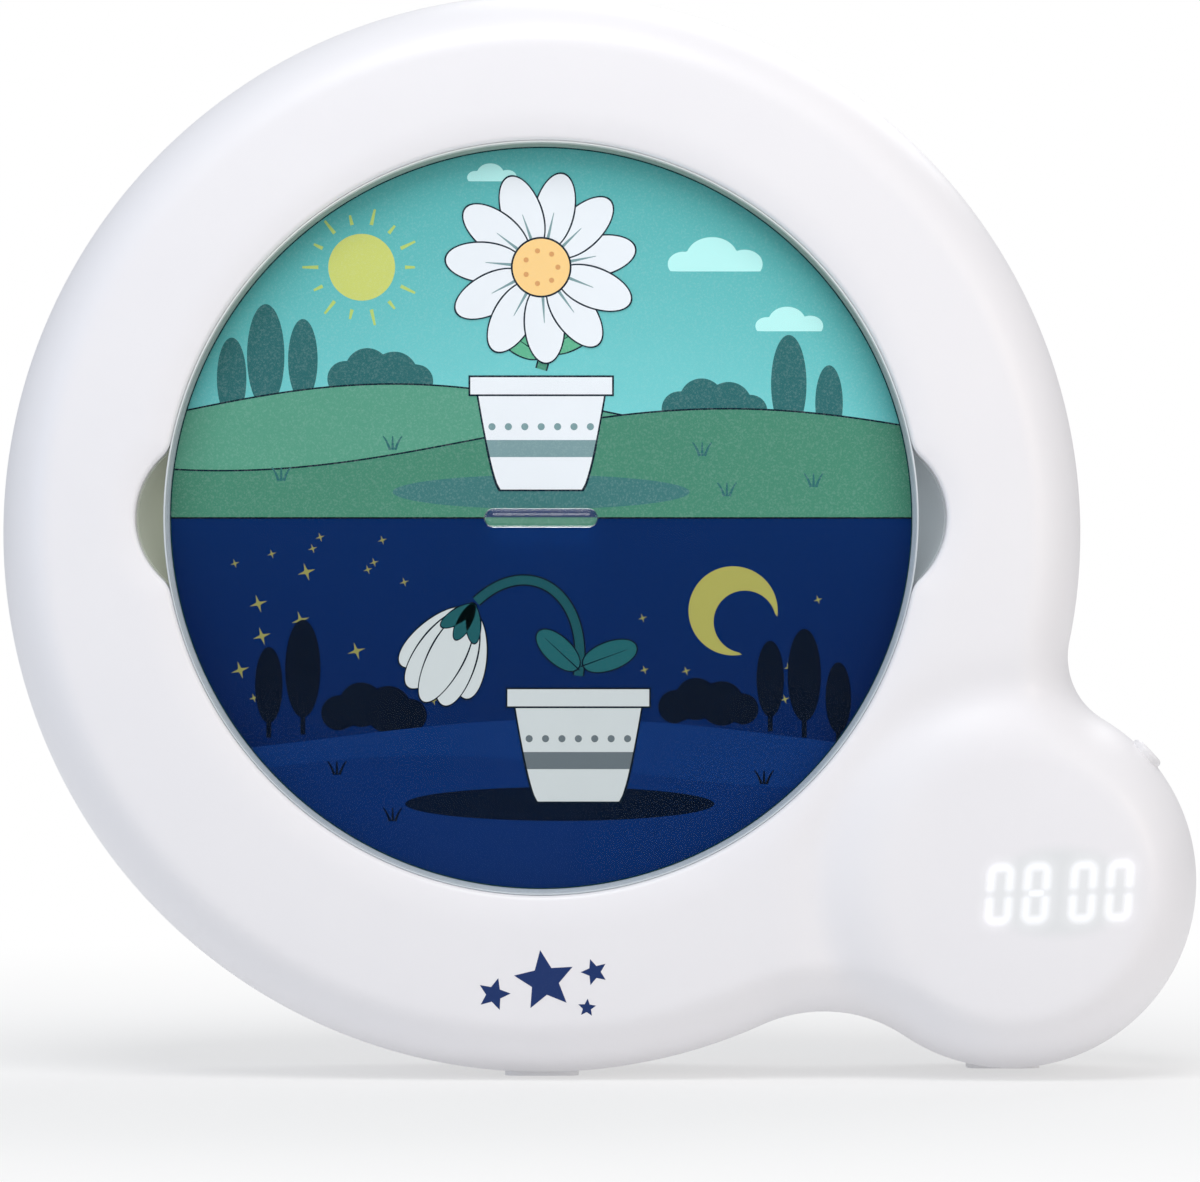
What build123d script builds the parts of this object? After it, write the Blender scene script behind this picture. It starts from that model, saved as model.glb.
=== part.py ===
from build123d import *
from math import atan2, ceil, cos, degrees, hypot, radians, sin, sqrt
import os

# A children's alarm clock with a day and night picture light.
# A hollow ring holds a round picture; a round pod at its lower right holds the time display.
# Millimetres. +X right, +Y rear, +Z up; the front faces -Y. The origin lies on the table,
# under the middle of the whole clock.

# ---- outline, seen from the front ----
RING_R = 88.0             # outer radius of the ring
POD_R = 30.6              # outer radius of the display pod
POD_OVERLAP = 23.4        # how far the pod reaches into the ring
POD_LIFT = 0.6            # underside of the pod above the underside of the ring
UPPER_NECK_R = 12.0       # hollow blend between ring and pod, above
LOWER_NECK_R = 24.0       # hollow blend between ring and pod, below
FOOT_DROP = 0.5           # clear height of the ring above the table

# ---- depth ----
DEPTH = 54.0              # pod face to rear face
RING_SETBACK = 2.2        # ring face behind the pod face
FRONT_HALF = 28.0         # depth of the front housing, from the pod face
WALL = 2.2                # wall of both housings
JOIN = 0.5                # how far a moulded boss or rib runs into the wall that it grows from
FRONT_EDGE_R = 12.0       # rounding of the ring's front edge
REAR_EDGE_R = 8.0         # rounding of the rear edge
POD_EDGE_R = 9.0          # rounding of the pod's front edge
POD_STEP = 0.3            # raised part of the pod, inside its flank
LIP_DEPTH = 1.5           # joint lip of the rear housing
LIP_WALL = 1.2
LIP_GAP = 0.15            # joint lip to the front housing

# ---- picture opening ----
RING_BAND = 27.1          # ring's outer edge to the opening's edge
OPENING_UP = 2.4          # opening centre above the ring centre
BAY_R = 13.4              # finger bay
BAY_REACH = 4.5           # how far a bay reaches beyond the opening
BAY_BLEND_R = 5.0         # round corner between bay and opening
BEVEL_WIDTH = 2.4         # sloping edge of the opening
BEVEL_DEPTH = 1.0
WELL_WALL = 1.8           # wall that goes in from the opening

# ---- picture stack ----
LENS_RECESS = 2.6         # lens face behind the ring face
LENS_T = 2.0
LENS_GAP = 0.4            # lens to opening
LENS_EDGE_R = 0.5
GRIP_LENGTH = 18.4
GRIP_HEIGHT = 3.1
GRIP_RISE = 2.0
TAB_WIDTH = 6.0
TAB_LENGTH = 2.4
TAB_T = 0.5
TAB_ANGLES = (102.0, 151.5, 282.0, 331.5)
FILM_T = 0.4
FILM_INSET = 0.4          # film edge inside the lens edge
SEAT_GAP = 0.1            # film to the light box
DIFFUSER_T = 2.0
DIFFUSER_SEAT = 1.2       # ledge under the diffuser
DIFFUSER_GAP = 0.2
BOX_RIM = 2.2             # rim of the light box, outside the diffuser
TAB_ROOM = 0.25           # tab to the light box, and tab to the opening
BOX_DEPTH = 12.5          # diffuser to floor
BOX_FLOOR = 1.5
FLANGE_SETBACK = 0.5      # flange behind the light box rim
FLANGE_T = 1.5
FLANGE_WIDTH = 5.3        # flange outside the light box wall
SCOOP_DROP = 2.5          # middle of the scoop's ball, in front of the flange
SCOOP_WALL = 1.5
LUG_R = 4.0
LUG_OUT = 3.5             # lug centre outside the flange edge
LUG_ANGLES = (45.0, 135.0, 225.0, 315.0)
DIVIDER_T = 1.4
DIVIDER_GAP = 0.2

# ---- lamp boards ----
LAMP_BOARD_CLEAR = 10.0   # board's ends to the light box wall
LAMP_BOARD_HEIGHT = 12.0
LAMP_BOARD_T = 1.2
LAMP_BOARD_OUT = 27.0     # board centre above or below the divider
LAMP_COUNT = 5
LAMP_SIZE = 3.5
LAMP_T = 1.9

# ---- screws ----
SCREW_R = 1.4             # housing screw
SCREW_HEAD_R = 2.8
SCREW_HEAD_T = 1.8
SCREW_LENGTH = 14.0
SCREW_GRIP = 7.0          # plastic under a housing screw's head
SMALL_SCREW_R = 1.0
SMALL_HEAD_R = 2.1
SMALL_HEAD_T = 1.3
SMALL_SCREW_LENGTH = 6.0
THREAD_GAP = 0.05         # screw to its hole
PASS_GAP = 0.3            # screw to a hole that it passes through
HEAD_GAP = 0.4
TIP_ROOM = 0.3            # hole beyond a screw's tip
BOSS_R = 3.6
SMALL_BOSS_R = 2.6
RING_SCREW_IN = 16.0      # circle of housing screws inside the ring's outer edge
RING_SCREW_ANGLES = (90.0, 162.0, 234.0, 305.0, 18.0)
POD_SCREW_AT = 21.5       # pod screws above and below the pod centre

# ---- boards ----
BOARD_T = 1.6
MAIN_BOARD_BEFORE = 14.0  # main board's front face before the rear face
MAIN_BOARD_LENGTH = 110.0
MAIN_BOARD_HEIGHT = 30.0
BOARD_EDGE = 4.0          # screw centre from the board edge
CHIPS = ((-12.0, -2.0, 14.0, 14.0), (14.0, 3.0, 10.0, 6.0), (14.0, -7.0, 8.0, 5.0))  # right, up, size
CHIP_T = 1.6
CRYSTAL = (-30.0, 3.0, 11.0, 4.6)
CRYSTAL_T = 3.5
CAPACITORS_RIGHT = (24.0, -42.0)
CAPACITOR_R = 3.2
CAPACITOR_T = 7.0

# ---- rear controls ----
RECESS_LENGTH = 106.0
RECESS_HEIGHT = 17.0
RECESS_DEPTH = 2.0
RECESS_CORNER_R = 4.0
BUTTON_PITCH = 14.0
BUTTON_LENGTH = 9.6
BUTTON_HEIGHT = 6.0
BUTTON_RISE = 1.4         # button above the recess floor
BUTTON_EDGE_R = 0.5
BUTTON_FLANGE = 0.8
BUTTON_FLANGE_T = 1.0
BUTTON_GAP = 0.2          # button to its hole
BUTTON_REST = 0.8         # flange behind the wall, and the least room beyond the travel
STEM_R = 1.6
SWITCH_SIZE = 6.0
SWITCH_T = 3.5
PLUNGER_R = 1.7
PLUNGER_T = 0.7
BUTTON_TRAVEL = 0.6
TRAVEL_SPARE = 0.05       # what is left between stem and plunger at full travel
KNOB_OUT = 43.0           # mode switch to the left or right of the row's middle
KNOB_LENGTH = 6.0
KNOB_HEIGHT = 5.0
KNOB_TRAVEL = 2.0         # each way
KNOB_SLOT_HEIGHT = 2.6
KNOB_LEVER = 2.0
KNOB_FLANGE_T = 1.0
KNOB_GAP = 0.1            # knob and its flange to the wall between them
KNOB_GROOVE = 0.4
MODE_BODY_LENGTH = 12.0
MODE_BODY_HEIGHT = 5.0
MODE_BODY_T = 4.0
USB_WIDTH = 8.0
USB_HEIGHT = 3.0
USB_WALL = 0.4
USB_TONGUE = 0.9
USB_DEPTH = 6.5
USB_GAP = 0.25

# ---- speaker ----
SPEAKER_R = 16.0
SPEAKER_FLANGE_T = 1.2
SPEAKER_FLANGE_W = 3.2
SPEAKER_DEPTH = 8.0       # flange to back plate
SPEAKER_METAL = 0.8
MAGNET_R = 9.0
MAGNET_T = 4.5
MAGNET_EDGE_R = 0.6
CAP_R = 3.5               # dust cap of the cone
CAP_RISE = 2.0            # dust cap above the basket's floor
CONE_ROLL = 1.3           # flat rim of the cone
GASKET_T = 0.8
CONE_T = 0.4
POCKET_GAP = 0.3
POCKET_WALL = 1.5
POCKET_DEPTH = 4.5
GRILLE_HOLE_R = 1.1
GRILLE_PITCH = 4.0
GRILLE_RINGS = 3

# ---- batteries ----
CELL_R = 7.2
CELL_LENGTH = 50.5
CELL_NUB_R = 2.75
CELL_NUB = 1.2
CELL_PITCH = 15.2
CELL_COUNT = 3
CELL_GAP = 0.4            # cell to the compartment
SPRING_ROOM = 6.5
CONTACT_T = 0.5
CONTACT_SIZE = 12.0
COMPARTMENT_WALL = 1.8
DOOR_MARGIN = 1.0         # door's lower corners inside the flat of the rear face
DOOR_T = 2.0
DOOR_LEDGE = 3.0
DOOR_GAP = 0.3
DOOR_SINK = 0.2           # door face below the rear face
DOOR_TAB_R = 5.5
DOOR_CORNER_R = 2.0
DOOR_RIB = 1.5            # how far the door's ribs reach into the compartment
DOOR_RIB_T = 1.2
DOOR_SCREW_LENGTH = 8.0
DOOR_HEAD_T = 1.2
SPRING_WIRE_R = 0.45
SPRING_R = 4.2
SPRING_TAPER = 1.6

# ---- display ----
DISPLAY_RIGHT = 6.9       # display centre to the right of the pod centre
DISPLAY_DOWN = 1.0
DISPLAY_TILT = 1.8        # degrees, rising to the right
DISPLAY_SKIN = 1.0        # thin wall that the digits glow through
DIGIT_HEIGHT = 9.0        # between the middles of the top and bottom segments
DIGIT_WIDTH = 3.9
DIGIT_PITCH = 5.9
PAIR_GAP = 7.5
DIGIT_LEAN = 6.0          # degrees
SEGMENT_T = 0.9
SEGMENT_GAP = 0.25
COLON_R = 0.6
MASK_T = 4.0
MASK_EDGE = 1.4           # mask outside the digits
MASK_GAP = 0.2
DISPLAY_FILM_T = 0.3
CHIP_LED = (1.6, 0.8, 0.5)  # length, width, thickness
DISPLAY_BOARD_LEFT = 20.0
DISPLAY_BOARD_RIGHT = 13.0
DISPLAY_BOARD_TOP = 7.4
DISPLAY_BOARD_BOTTOM = 11.0
DISPLAY_BOSS_R = 2.0
DRIVER_LENGTH = 10.0
DRIVER_HEIGHT = 7.0

# ---- pod button ----
POD_BUTTON_ANGLE = 43.0
POD_BUTTON_FORWARD = 8.0  # button's middle in front of the parting plane
POD_BUTTON_LENGTH = 10.0
POD_BUTTON_WIDTH = 5.4
POD_BUTTON_RISE = 0.7
POD_BUTTON_EDGE_R = 0.65
RIB_T = 1.8
RIB_DEPTH = 3.6
RIB_GAP = 0.1             # switch board to the ribs
FLANK_STEM = 1.0          # stem inside the pod button's flange
FLANK_BOARD_MARGIN = 2.5  # board outside the switch

# ---- feet ----
FOOT_SINK = 1.1           # recess in the housing
FOOT_LENGTH = 8.0         # along the depth
RING_FOOT_WIDTH = 12.0
POD_FOOT_WIDTH = 12.0
FOOT_GAP = 0.1
FOOT_CORNER_R = 2.0
FRONT_FOOT_Y = -4.5
REAR_FOOT_Y = 13.0

# ---- leads ----
LEAD_R = 0.9
LEAD_BEND = 1.8
LEAD_OFF = 0.3            # lead to the floor that it runs along
LEAD_EDGE = 3.0           # solder point from the main board's edge
LAMP_LEAD_RIGHT = 38.0    # solder points, right of the main board's middle
LAMP_LEAD_UP = 6.0
DISPLAY_LEAD_RIGHT = 44.0
LEAD_HOLE_R = 2.8

# ---- places worked out from the sizes ----
POD_FRONT_Y = -DEPTH / 2
REAR_Y = DEPTH / 2
RING_FRONT_Y = POD_FRONT_Y + RING_SETBACK
PARTING_Y = POD_FRONT_Y + FRONT_HALF
POD_DOWN = RING_R - POD_R - POD_LIFT
POD_AWAY = RING_R + POD_R - POD_OVERLAP
POD_RIGHT = sqrt(POD_AWAY ** 2 - POD_DOWN ** 2)
OPENING_R = RING_R - RING_BAND
RING_SCREW_AT = RING_R - RING_SCREW_IN
RING_X = -(POD_RIGHT + POD_R - RING_R) / 2
RING_Z = FOOT_DROP + RING_R
POD_X = RING_X + POD_RIGHT
POD_Z = RING_Z - POD_DOWN
OPENING_Z = RING_Z + OPENING_UP
BAY_OUT = OPENING_R + BAY_REACH - BAY_R

FRONT_INSIDE_Y = RING_FRONT_Y + WALL
REAR_INSIDE_Y = REAR_Y - WALL
LENS_FRONT_Y = RING_FRONT_Y + LENS_RECESS
LENS_R = OPENING_R - LENS_GAP
LENS_REAR_Y = LENS_FRONT_Y + LENS_T
FILM_REAR_Y = LENS_REAR_Y + FILM_T
SEAT_Y = FILM_REAR_Y + SEAT_GAP
BOX_R = OPENING_R - TAB_T - 2 * TAB_ROOM
DIFFUSER_R = BOX_R - BOX_RIM
DIFFUSER_REAR_Y = SEAT_Y + DIFFUSER_T
BOX_FLOOR_Y = DIFFUSER_REAR_Y + BOX_DEPTH
BOX_REAR_Y = BOX_FLOOR_Y + BOX_FLOOR
BOX_INSIDE_R = DIFFUSER_R - DIFFUSER_SEAT
LAMP_BOARD_LENGTH = 2 * sqrt(BOX_INSIDE_R ** 2 - (LAMP_BOARD_OUT + LAMP_BOARD_HEIGHT / 2) ** 2)
LAMP_BOARD_LENGTH -= 2 * LAMP_BOARD_CLEAR
LAMP_PITCH = LAMP_BOARD_LENGTH / LAMP_COUNT
FLANGE_Y = SEAT_Y + FLANGE_SETBACK
FLANGE_R = BOX_R + FLANGE_WIDTH
LUG_AT = FLANGE_R + LUG_OUT

RECESS_FLOOR_Y = REAR_Y - RECESS_DEPTH
RECESS_INSIDE_Y = RECESS_FLOOR_Y - WALL
MAIN_BOARD_Y = REAR_Y - MAIN_BOARD_BEFORE
BOARD_REAR_Y = MAIN_BOARD_Y + BOARD_T
SWITCH_TOP_Y = BOARD_REAR_Y + SWITCH_T
PLUNGER_Y = SWITCH_TOP_Y + PLUNGER_T
COMPARTMENT_LENGTH = CELL_LENGTH + SPRING_ROOM + 2 * CONTACT_T
COMPARTMENT_HEIGHT = (CELL_COUNT - 1) * CELL_PITCH + 2 * (CELL_R + CELL_GAP)
DOOR_HALF_LENGTH = COMPARTMENT_LENGTH / 2 + DOOR_LEDGE
DOOR_HALF_HEIGHT = COMPARTMENT_HEIGHT / 2 + DOOR_LEDGE
FLAT_R = RING_R - REAR_EDGE_R - DOOR_MARGIN
BATTERY_Z = RING_Z - sqrt(FLAT_R ** 2 - DOOR_HALF_LENGTH ** 2) + DOOR_HALF_HEIGHT
DOOR_INSIDE_Y = REAR_Y - DOOR_SINK - DOOR_T
CELL_Y = DOOR_INSIDE_Y - CELL_GAP - CELL_R
COMPARTMENT_Y = CELL_Y - CELL_R - CELL_GAP
DOOR_TAB_Z = BATTERY_Z + DOOR_HALF_HEIGHT + DOOR_TAB_R / 2
SCREW_WELL_R = SCREW_HEAD_R + HEAD_GAP + WALL / 2
POCKET_R = SPEAKER_R + POCKET_GAP + POCKET_WALL
SPEAKER_Z = RING_Z + RING_SCREW_AT - SCREW_WELL_R - POCKET_R
CONTROL_Z = (DOOR_TAB_Z + DOOR_TAB_R + SPEAKER_Z - POCKET_R) / 2

POD_BUTTON_Y = PARTING_Y - POD_BUTTON_FORWARD
LEAD_Y = (BOX_REAR_Y + MAIN_BOARD_Y) / 2
DISPLAY_LEAD_Y = LEAD_Y + 2 * LEAD_R + LEAD_OFF
DISPLAY_X = POD_X + DISPLAY_RIGHT
DISPLAY_Z = POD_Z - DISPLAY_DOWN
SKIN_Y = POD_FRONT_Y + DISPLAY_SKIN
MASK_Y = SKIN_Y + DISPLAY_FILM_T
DISPLAY_BOARD_Y = MASK_Y + MASK_T
DIGITS_LENGTH = 2 * DIGIT_PITCH + PAIR_GAP + DIGIT_WIDTH + SEGMENT_T
MASK_LENGTH = DIGITS_LENGTH + 2 * MASK_EDGE
MASK_HEIGHT = DIGIT_HEIGHT + SEGMENT_T + 2 * MASK_EDGE


def front_plane(y):
    """A sketch plane at depth y: sketch x is X, sketch y is Z, and it faces the front."""
    return Plane(origin=(0, y, 0), x_dir=(1, 0, 0), z_dir=(0, -1, 0))


def slab(sketch, y_front, y_rear):
    """The sketch as a solid between two depths."""
    return extrude(front_plane(y_rear) * sketch, y_rear - y_front)


def rod(x, z, r, y_front, y_rear):
    return slab(Pos(x, z) * Circle(r), y_front, y_rear)


def block(x, z, length, height, y_front, y_rear):
    return slab(Pos(x, z) * Rectangle(length, height), y_front, y_rear)


def pill(x, z, length, height, y_front, y_rear):
    return slab(Pos(x, z) * SlotOverall(length, height), y_front, y_rear)


def edges_at(shape, y):
    return shape.edges().filter_by_position(Axis.Y, y - 0.001, y + 0.001)


def on_circle(radius, angle, x=RING_X, z=RING_Z):
    """The point at an angle and a radius about a centre, the ring's unless said."""
    return x + radius * cos(radians(angle)), z + radius * sin(radians(angle))


def save(name, shape):
    export_step(shape, f"parts/{name}.step")
    print(name)


# ---- outline of ring and pod ----

def neck_centre(side, radius):
    """Centre of the circle that touches ring and pod from outside, above (1) or below (-1)."""
    apart = hypot(POD_RIGHT, POD_DOWN)
    ux, uz = POD_RIGHT / apart, -POD_DOWN / apart
    to_ring = RING_R + radius
    to_pod = POD_R + radius
    along = (to_ring ** 2 - to_pod ** 2 + apart ** 2) / (2 * apart)
    off = side * sqrt(to_ring ** 2 - along ** 2)
    return RING_X + ux * along - uz * off, RING_Z + uz * along + ux * off


def towards(x, z, to_x, to_z, distance):
    """The point at a distance from x, z in the direction of another point."""
    length = hypot(to_x - x, to_z - z)
    return x + (to_x - x) * distance / length, z + (to_z - z) * distance / length


def outline(inset):
    """Ring and pod as one outline, joined by two hollow arcs, drawn inset from the outside."""
    necks = []
    for side, radius in ((1, UPPER_NECK_R), (-1, LOWER_NECK_R)):
        x, z = neck_centre(side, radius)
        on_ring = towards(RING_X, RING_Z, x, z, RING_R - inset)
        on_pod = towards(POD_X, POD_Z, x, z, POD_R - inset)
        middle = ((on_ring[0] + on_pod[0]) / 2, (on_ring[1] + on_pod[1]) / 2)
        necks.append((on_ring, towards(x, z, middle[0], middle[1], radius + inset), on_pod))
    (ring_top, neck_top, pod_top), (ring_low, neck_low, pod_low) = necks
    ring_far = towards(RING_X, RING_Z, POD_X, POD_Z, inset - RING_R)
    pod_far = towards(POD_X, POD_Z, RING_X, RING_Z, inset - POD_R)
    arcs = [
        ThreePointArc(ring_top, ring_far, ring_low),
        ThreePointArc(ring_low, neck_low, pod_low),
        ThreePointArc(pod_low, pod_far, pod_top),
        ThreePointArc(pod_top, neck_top, ring_top),
    ]
    return make_face(arcs)


def rounded_outline(inset, y_front, y_rear, y_round, radius):
    """The outline as a slab whose edge at depth y_round is rounded."""
    body = slab(outline(inset), y_front, y_rear)
    return fillet(edges_at(body, y_round), radius)


def front_body(inset):
    """The front half, solid: ring slab and raised pod, inset on every side but the rear."""
    y_ring = RING_FRONT_Y + inset
    y_pod = POD_FRONT_Y + inset
    ring = rounded_outline(inset, y_ring, PARTING_Y, y_ring, FRONT_EDGE_R - inset)
    pod = rod(POD_X, POD_Z, POD_R - POD_STEP - inset, y_pod, PARTING_Y)
    pod = fillet(edges_at(pod, y_pod), POD_EDGE_R - inset)
    return ring + pod


def opening(grow):
    """The picture opening with its two finger bays, drawn larger by grow."""
    shape = Circle(OPENING_R + grow)
    for side in (-1, 1):
        shape += Pos(side * BAY_OUT, 0) * Circle(BAY_R + grow)
    corners = [v for v in shape.vertices() if abs(v.Y) > BAY_R / 4]
    return Pos(RING_X, OPENING_Z) * fillet(corners, BAY_BLEND_R - grow)


# ---- front housing ----

def lip_bevel():
    """The sloping band round the opening, as a cutter."""
    cutter = slab(opening(BEVEL_WIDTH), RING_FRONT_Y - BEVEL_DEPTH, RING_FRONT_Y + BEVEL_DEPTH)
    edges = edges_at(cutter, RING_FRONT_Y + BEVEL_DEPTH)
    face = cutter.faces().sort_by(Axis.Y)[-1]
    return chamfer(edges, BEVEL_WIDTH, BEVEL_DEPTH, reference=face)


def display_cutter(grow, y_front, y_rear):
    """The display's tilted rectangle as a block."""
    shape = Rot(0, 0, DISPLAY_TILT) * Rectangle(MASK_LENGTH + 2 * grow, MASK_HEIGHT + 2 * grow)
    return slab(Pos(DISPLAY_X, DISPLAY_Z) * shape, y_front, y_rear)


def display_boss_points():
    low = DISPLAY_Z - DISPLAY_BOARD_BOTTOM + DISPLAY_BOSS_R
    high = DISPLAY_Z + DISPLAY_BOARD_TOP - DISPLAY_BOSS_R
    left = DISPLAY_X - DISPLAY_BOARD_LEFT + DISPLAY_BOSS_R
    right = DISPLAY_X + DISPLAY_BOARD_RIGHT - 2 * DISPLAY_BOSS_R
    return [(left, high), (left, low), (right, low)]


def radial(distance):
    """A frame on the pod's flank button axis: local z outwards, local x along the depth."""
    x, z = on_circle(distance, POD_BUTTON_ANGLE, POD_X, POD_Z)
    out = (cos(radians(POD_BUTTON_ANGLE)), 0, sin(radians(POD_BUTTON_ANGLE)))
    return Plane(origin=(x, POD_BUTTON_Y, z), x_dir=(0, 1, 0), z_dir=out)


def radial_block(length, width, r_in, r_out):
    return extrude(radial(r_in) * Rectangle(length, width), r_out - r_in)


def radial_pill(length, width, r_in, r_out):
    return extrude(radial(r_in) * SlotOverall(length, width), r_out - r_in)


POD_INSIDE_R = POD_R - WALL
FLANK_FLANGE_R = POD_INSIDE_R - BUTTON_REST
FLANK_STEM_R = FLANK_FLANGE_R - BUTTON_FLANGE_T - FLANK_STEM
FLANK_PLUNGER_R = FLANK_STEM_R - BUTTON_TRAVEL - TRAVEL_SPARE
FLANK_SWITCH_R = FLANK_PLUNGER_R - PLUNGER_T
FLANK_BOARD_R = FLANK_SWITCH_R - SWITCH_T
FLANK_BOARD_SIZE = SWITCH_SIZE + 2 * FLANK_BOARD_MARGIN


def switch_ribs():
    """Two slotted ribs on the pod's front wall that hold the small switch board."""
    middle = FLANK_BOARD_R - BOARD_T / 2
    length = POD_BUTTON_Y + FLANK_BOARD_SIZE / 2 - (POD_FRONT_Y + WALL)
    ribs = []
    for side in (-1, 1):
        at = radial(middle - RIB_DEPTH / 2)
        y_middle = POD_FRONT_Y + WALL + length / 2 - POD_BUTTON_Y
        off = side * FLANK_BOARD_SIZE / 2
        shape = Pos(y_middle - JOIN / 2, off) * Rectangle(length + JOIN, RIB_T)
        ribs.append(extrude(at * shape, RIB_DEPTH))
    slot = radial_block(FLANK_BOARD_SIZE, FLANK_BOARD_SIZE, FLANK_BOARD_R - BOARD_T, FLANK_BOARD_R)
    return [rib - slot for rib in ribs]


def foot(middle, width, top, y, grow):
    """A foot pad from the table up to the floor of its recess, grown sideways."""
    pad = Box(width + 2 * grow, FOOT_LENGTH + 2 * grow, top)
    return Pos(middle, y, top / 2) * pad


def ring_foot(y, grow):
    return foot(RING_X, RING_FOOT_WIDTH, RING_Z - RING_R + FOOT_SINK, y, grow)


def pod_foot(grow):
    """The pod's only foot stands under its rear half, out of sight from the front."""
    return foot(POD_X, POD_FOOT_WIDTH, POD_Z - POD_R + FOOT_SINK, REAR_FOOT_Y, grow)


def front_housing():
    body = front_body(0) - front_body(WALL)
    body += slab(opening(WELL_WALL), FRONT_INSIDE_Y - JOIN, FLANGE_Y)
    for angle in LUG_ANGLES:
        x, z = on_circle(LUG_AT, angle, RING_X, OPENING_Z)
        body += rod(x, z, SMALL_BOSS_R, FRONT_INSIDE_Y - JOIN, FLANGE_Y)
    for x, z in housing_screw_points():
        face = POD_FRONT_Y if x == POD_X else RING_FRONT_Y
        body += rod(x, z, BOSS_R, face + WALL - JOIN, PARTING_Y)
    for x, z in display_boss_points():
        body += rod(x, z, DISPLAY_BOSS_R, POD_FRONT_Y + WALL - JOIN, DISPLAY_BOARD_Y)
    for rib in switch_ribs():
        body += rib
    body -= slab(opening(0), POD_FRONT_Y, PARTING_Y)
    body -= lip_bevel()
    body -= display_cutter(MASK_GAP, SKIN_Y, DISPLAY_BOARD_Y)
    for angle in LUG_ANGLES:
        x, z = on_circle(LUG_AT, angle, RING_X, OPENING_Z)
        body -= rod(x, z, SMALL_SCREW_R + THREAD_GAP, FRONT_INSIDE_Y, FLANGE_Y)
    for x, z in housing_screw_points():
        body -= rod(x, z, SCREW_R + THREAD_GAP, SCREW_SEAT_Y - SCREW_LENGTH - TIP_ROOM, PARTING_Y)
    for x, z in display_boss_points():
        body -= rod(x, z, SMALL_SCREW_R + THREAD_GAP, POD_FRONT_Y + WALL, DISPLAY_BOARD_Y)
    body -= radial_pill(POD_BUTTON_LENGTH + 2 * BUTTON_GAP, POD_BUTTON_WIDTH + 2 * BUTTON_GAP,
                        POD_INSIDE_R - JOIN, POD_R + JOIN)
    body -= ring_foot(FRONT_FOOT_Y, FOOT_GAP)
    return body


# ---- picture stack ----

def clear_lens():
    lens = rod(RING_X, OPENING_Z, LENS_R, LENS_FRONT_Y, LENS_REAR_Y)
    lens = fillet(edges_at(lens, LENS_FRONT_Y), LENS_EDGE_R)
    grip = pill(RING_X, OPENING_Z, GRIP_LENGTH, GRIP_HEIGHT, LENS_FRONT_Y - GRIP_RISE, LENS_FRONT_Y)
    grip = fillet(edges_at(grip, LENS_FRONT_Y - GRIP_RISE), GRIP_RISE / 2)
    lens += grip
    bow = LENS_R - sqrt(LENS_R ** 2 - TAB_WIDTH ** 2 / 4)
    for angle in TAB_ANGLES:
        at = Rot(0, 0, angle) * Pos(LENS_R - TAB_T / 2 - bow, 0)
        tab = Pos(RING_X, OPENING_Z) * at * Rectangle(TAB_T, TAB_WIDTH)
        lens += slab(tab, LENS_REAR_Y, LENS_REAR_Y + TAB_LENGTH)
    return lens


def picture_film():
    film = rod(RING_X, OPENING_Z, LENS_R - FILM_INSET, LENS_REAR_Y, FILM_REAR_Y)
    for angle in TAB_ANGLES:
        at = Rot(0, 0, angle) * Pos(LENS_R - TAB_T, 0)
        notch = Pos(RING_X, OPENING_Z) * at * Rectangle(2 * TAB_T, TAB_WIDTH + 2 * TAB_ROOM)
        film -= slab(notch, LENS_REAR_Y, FILM_REAR_Y)
    return film


def diffuser():
    return rod(RING_X, OPENING_Z, DIFFUSER_R - DIFFUSER_GAP, SEAT_Y, DIFFUSER_REAR_Y)


def scoop(side):
    """The hollow that a fingertip dips into, beside the picture."""
    shape = opening(WELL_WALL)
    reach = BAY_OUT + BAY_R + WELL_WALL
    inner = BOX_R - 2 * JOIN
    window = Pos(RING_X + side * (inner + reach) / 2, OPENING_Z)
    window *= Rectangle(reach - inner, 2 * (BAY_R + WELL_WALL))
    depth = sqrt(BAY_R ** 2 - (BOX_R - BAY_OUT) ** 2)
    y_ball = FLANGE_Y - SCOOP_DROP
    body = slab(shape & window, FLANGE_Y, y_ball + depth + SCOOP_WALL)
    body -= Pos(RING_X + side * BAY_OUT, y_ball, OPENING_Z) * Sphere(BAY_R)
    return body - rod(RING_X, OPENING_Z, BOX_R - JOIN, FLANGE_Y, BOX_REAR_Y)


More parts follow.
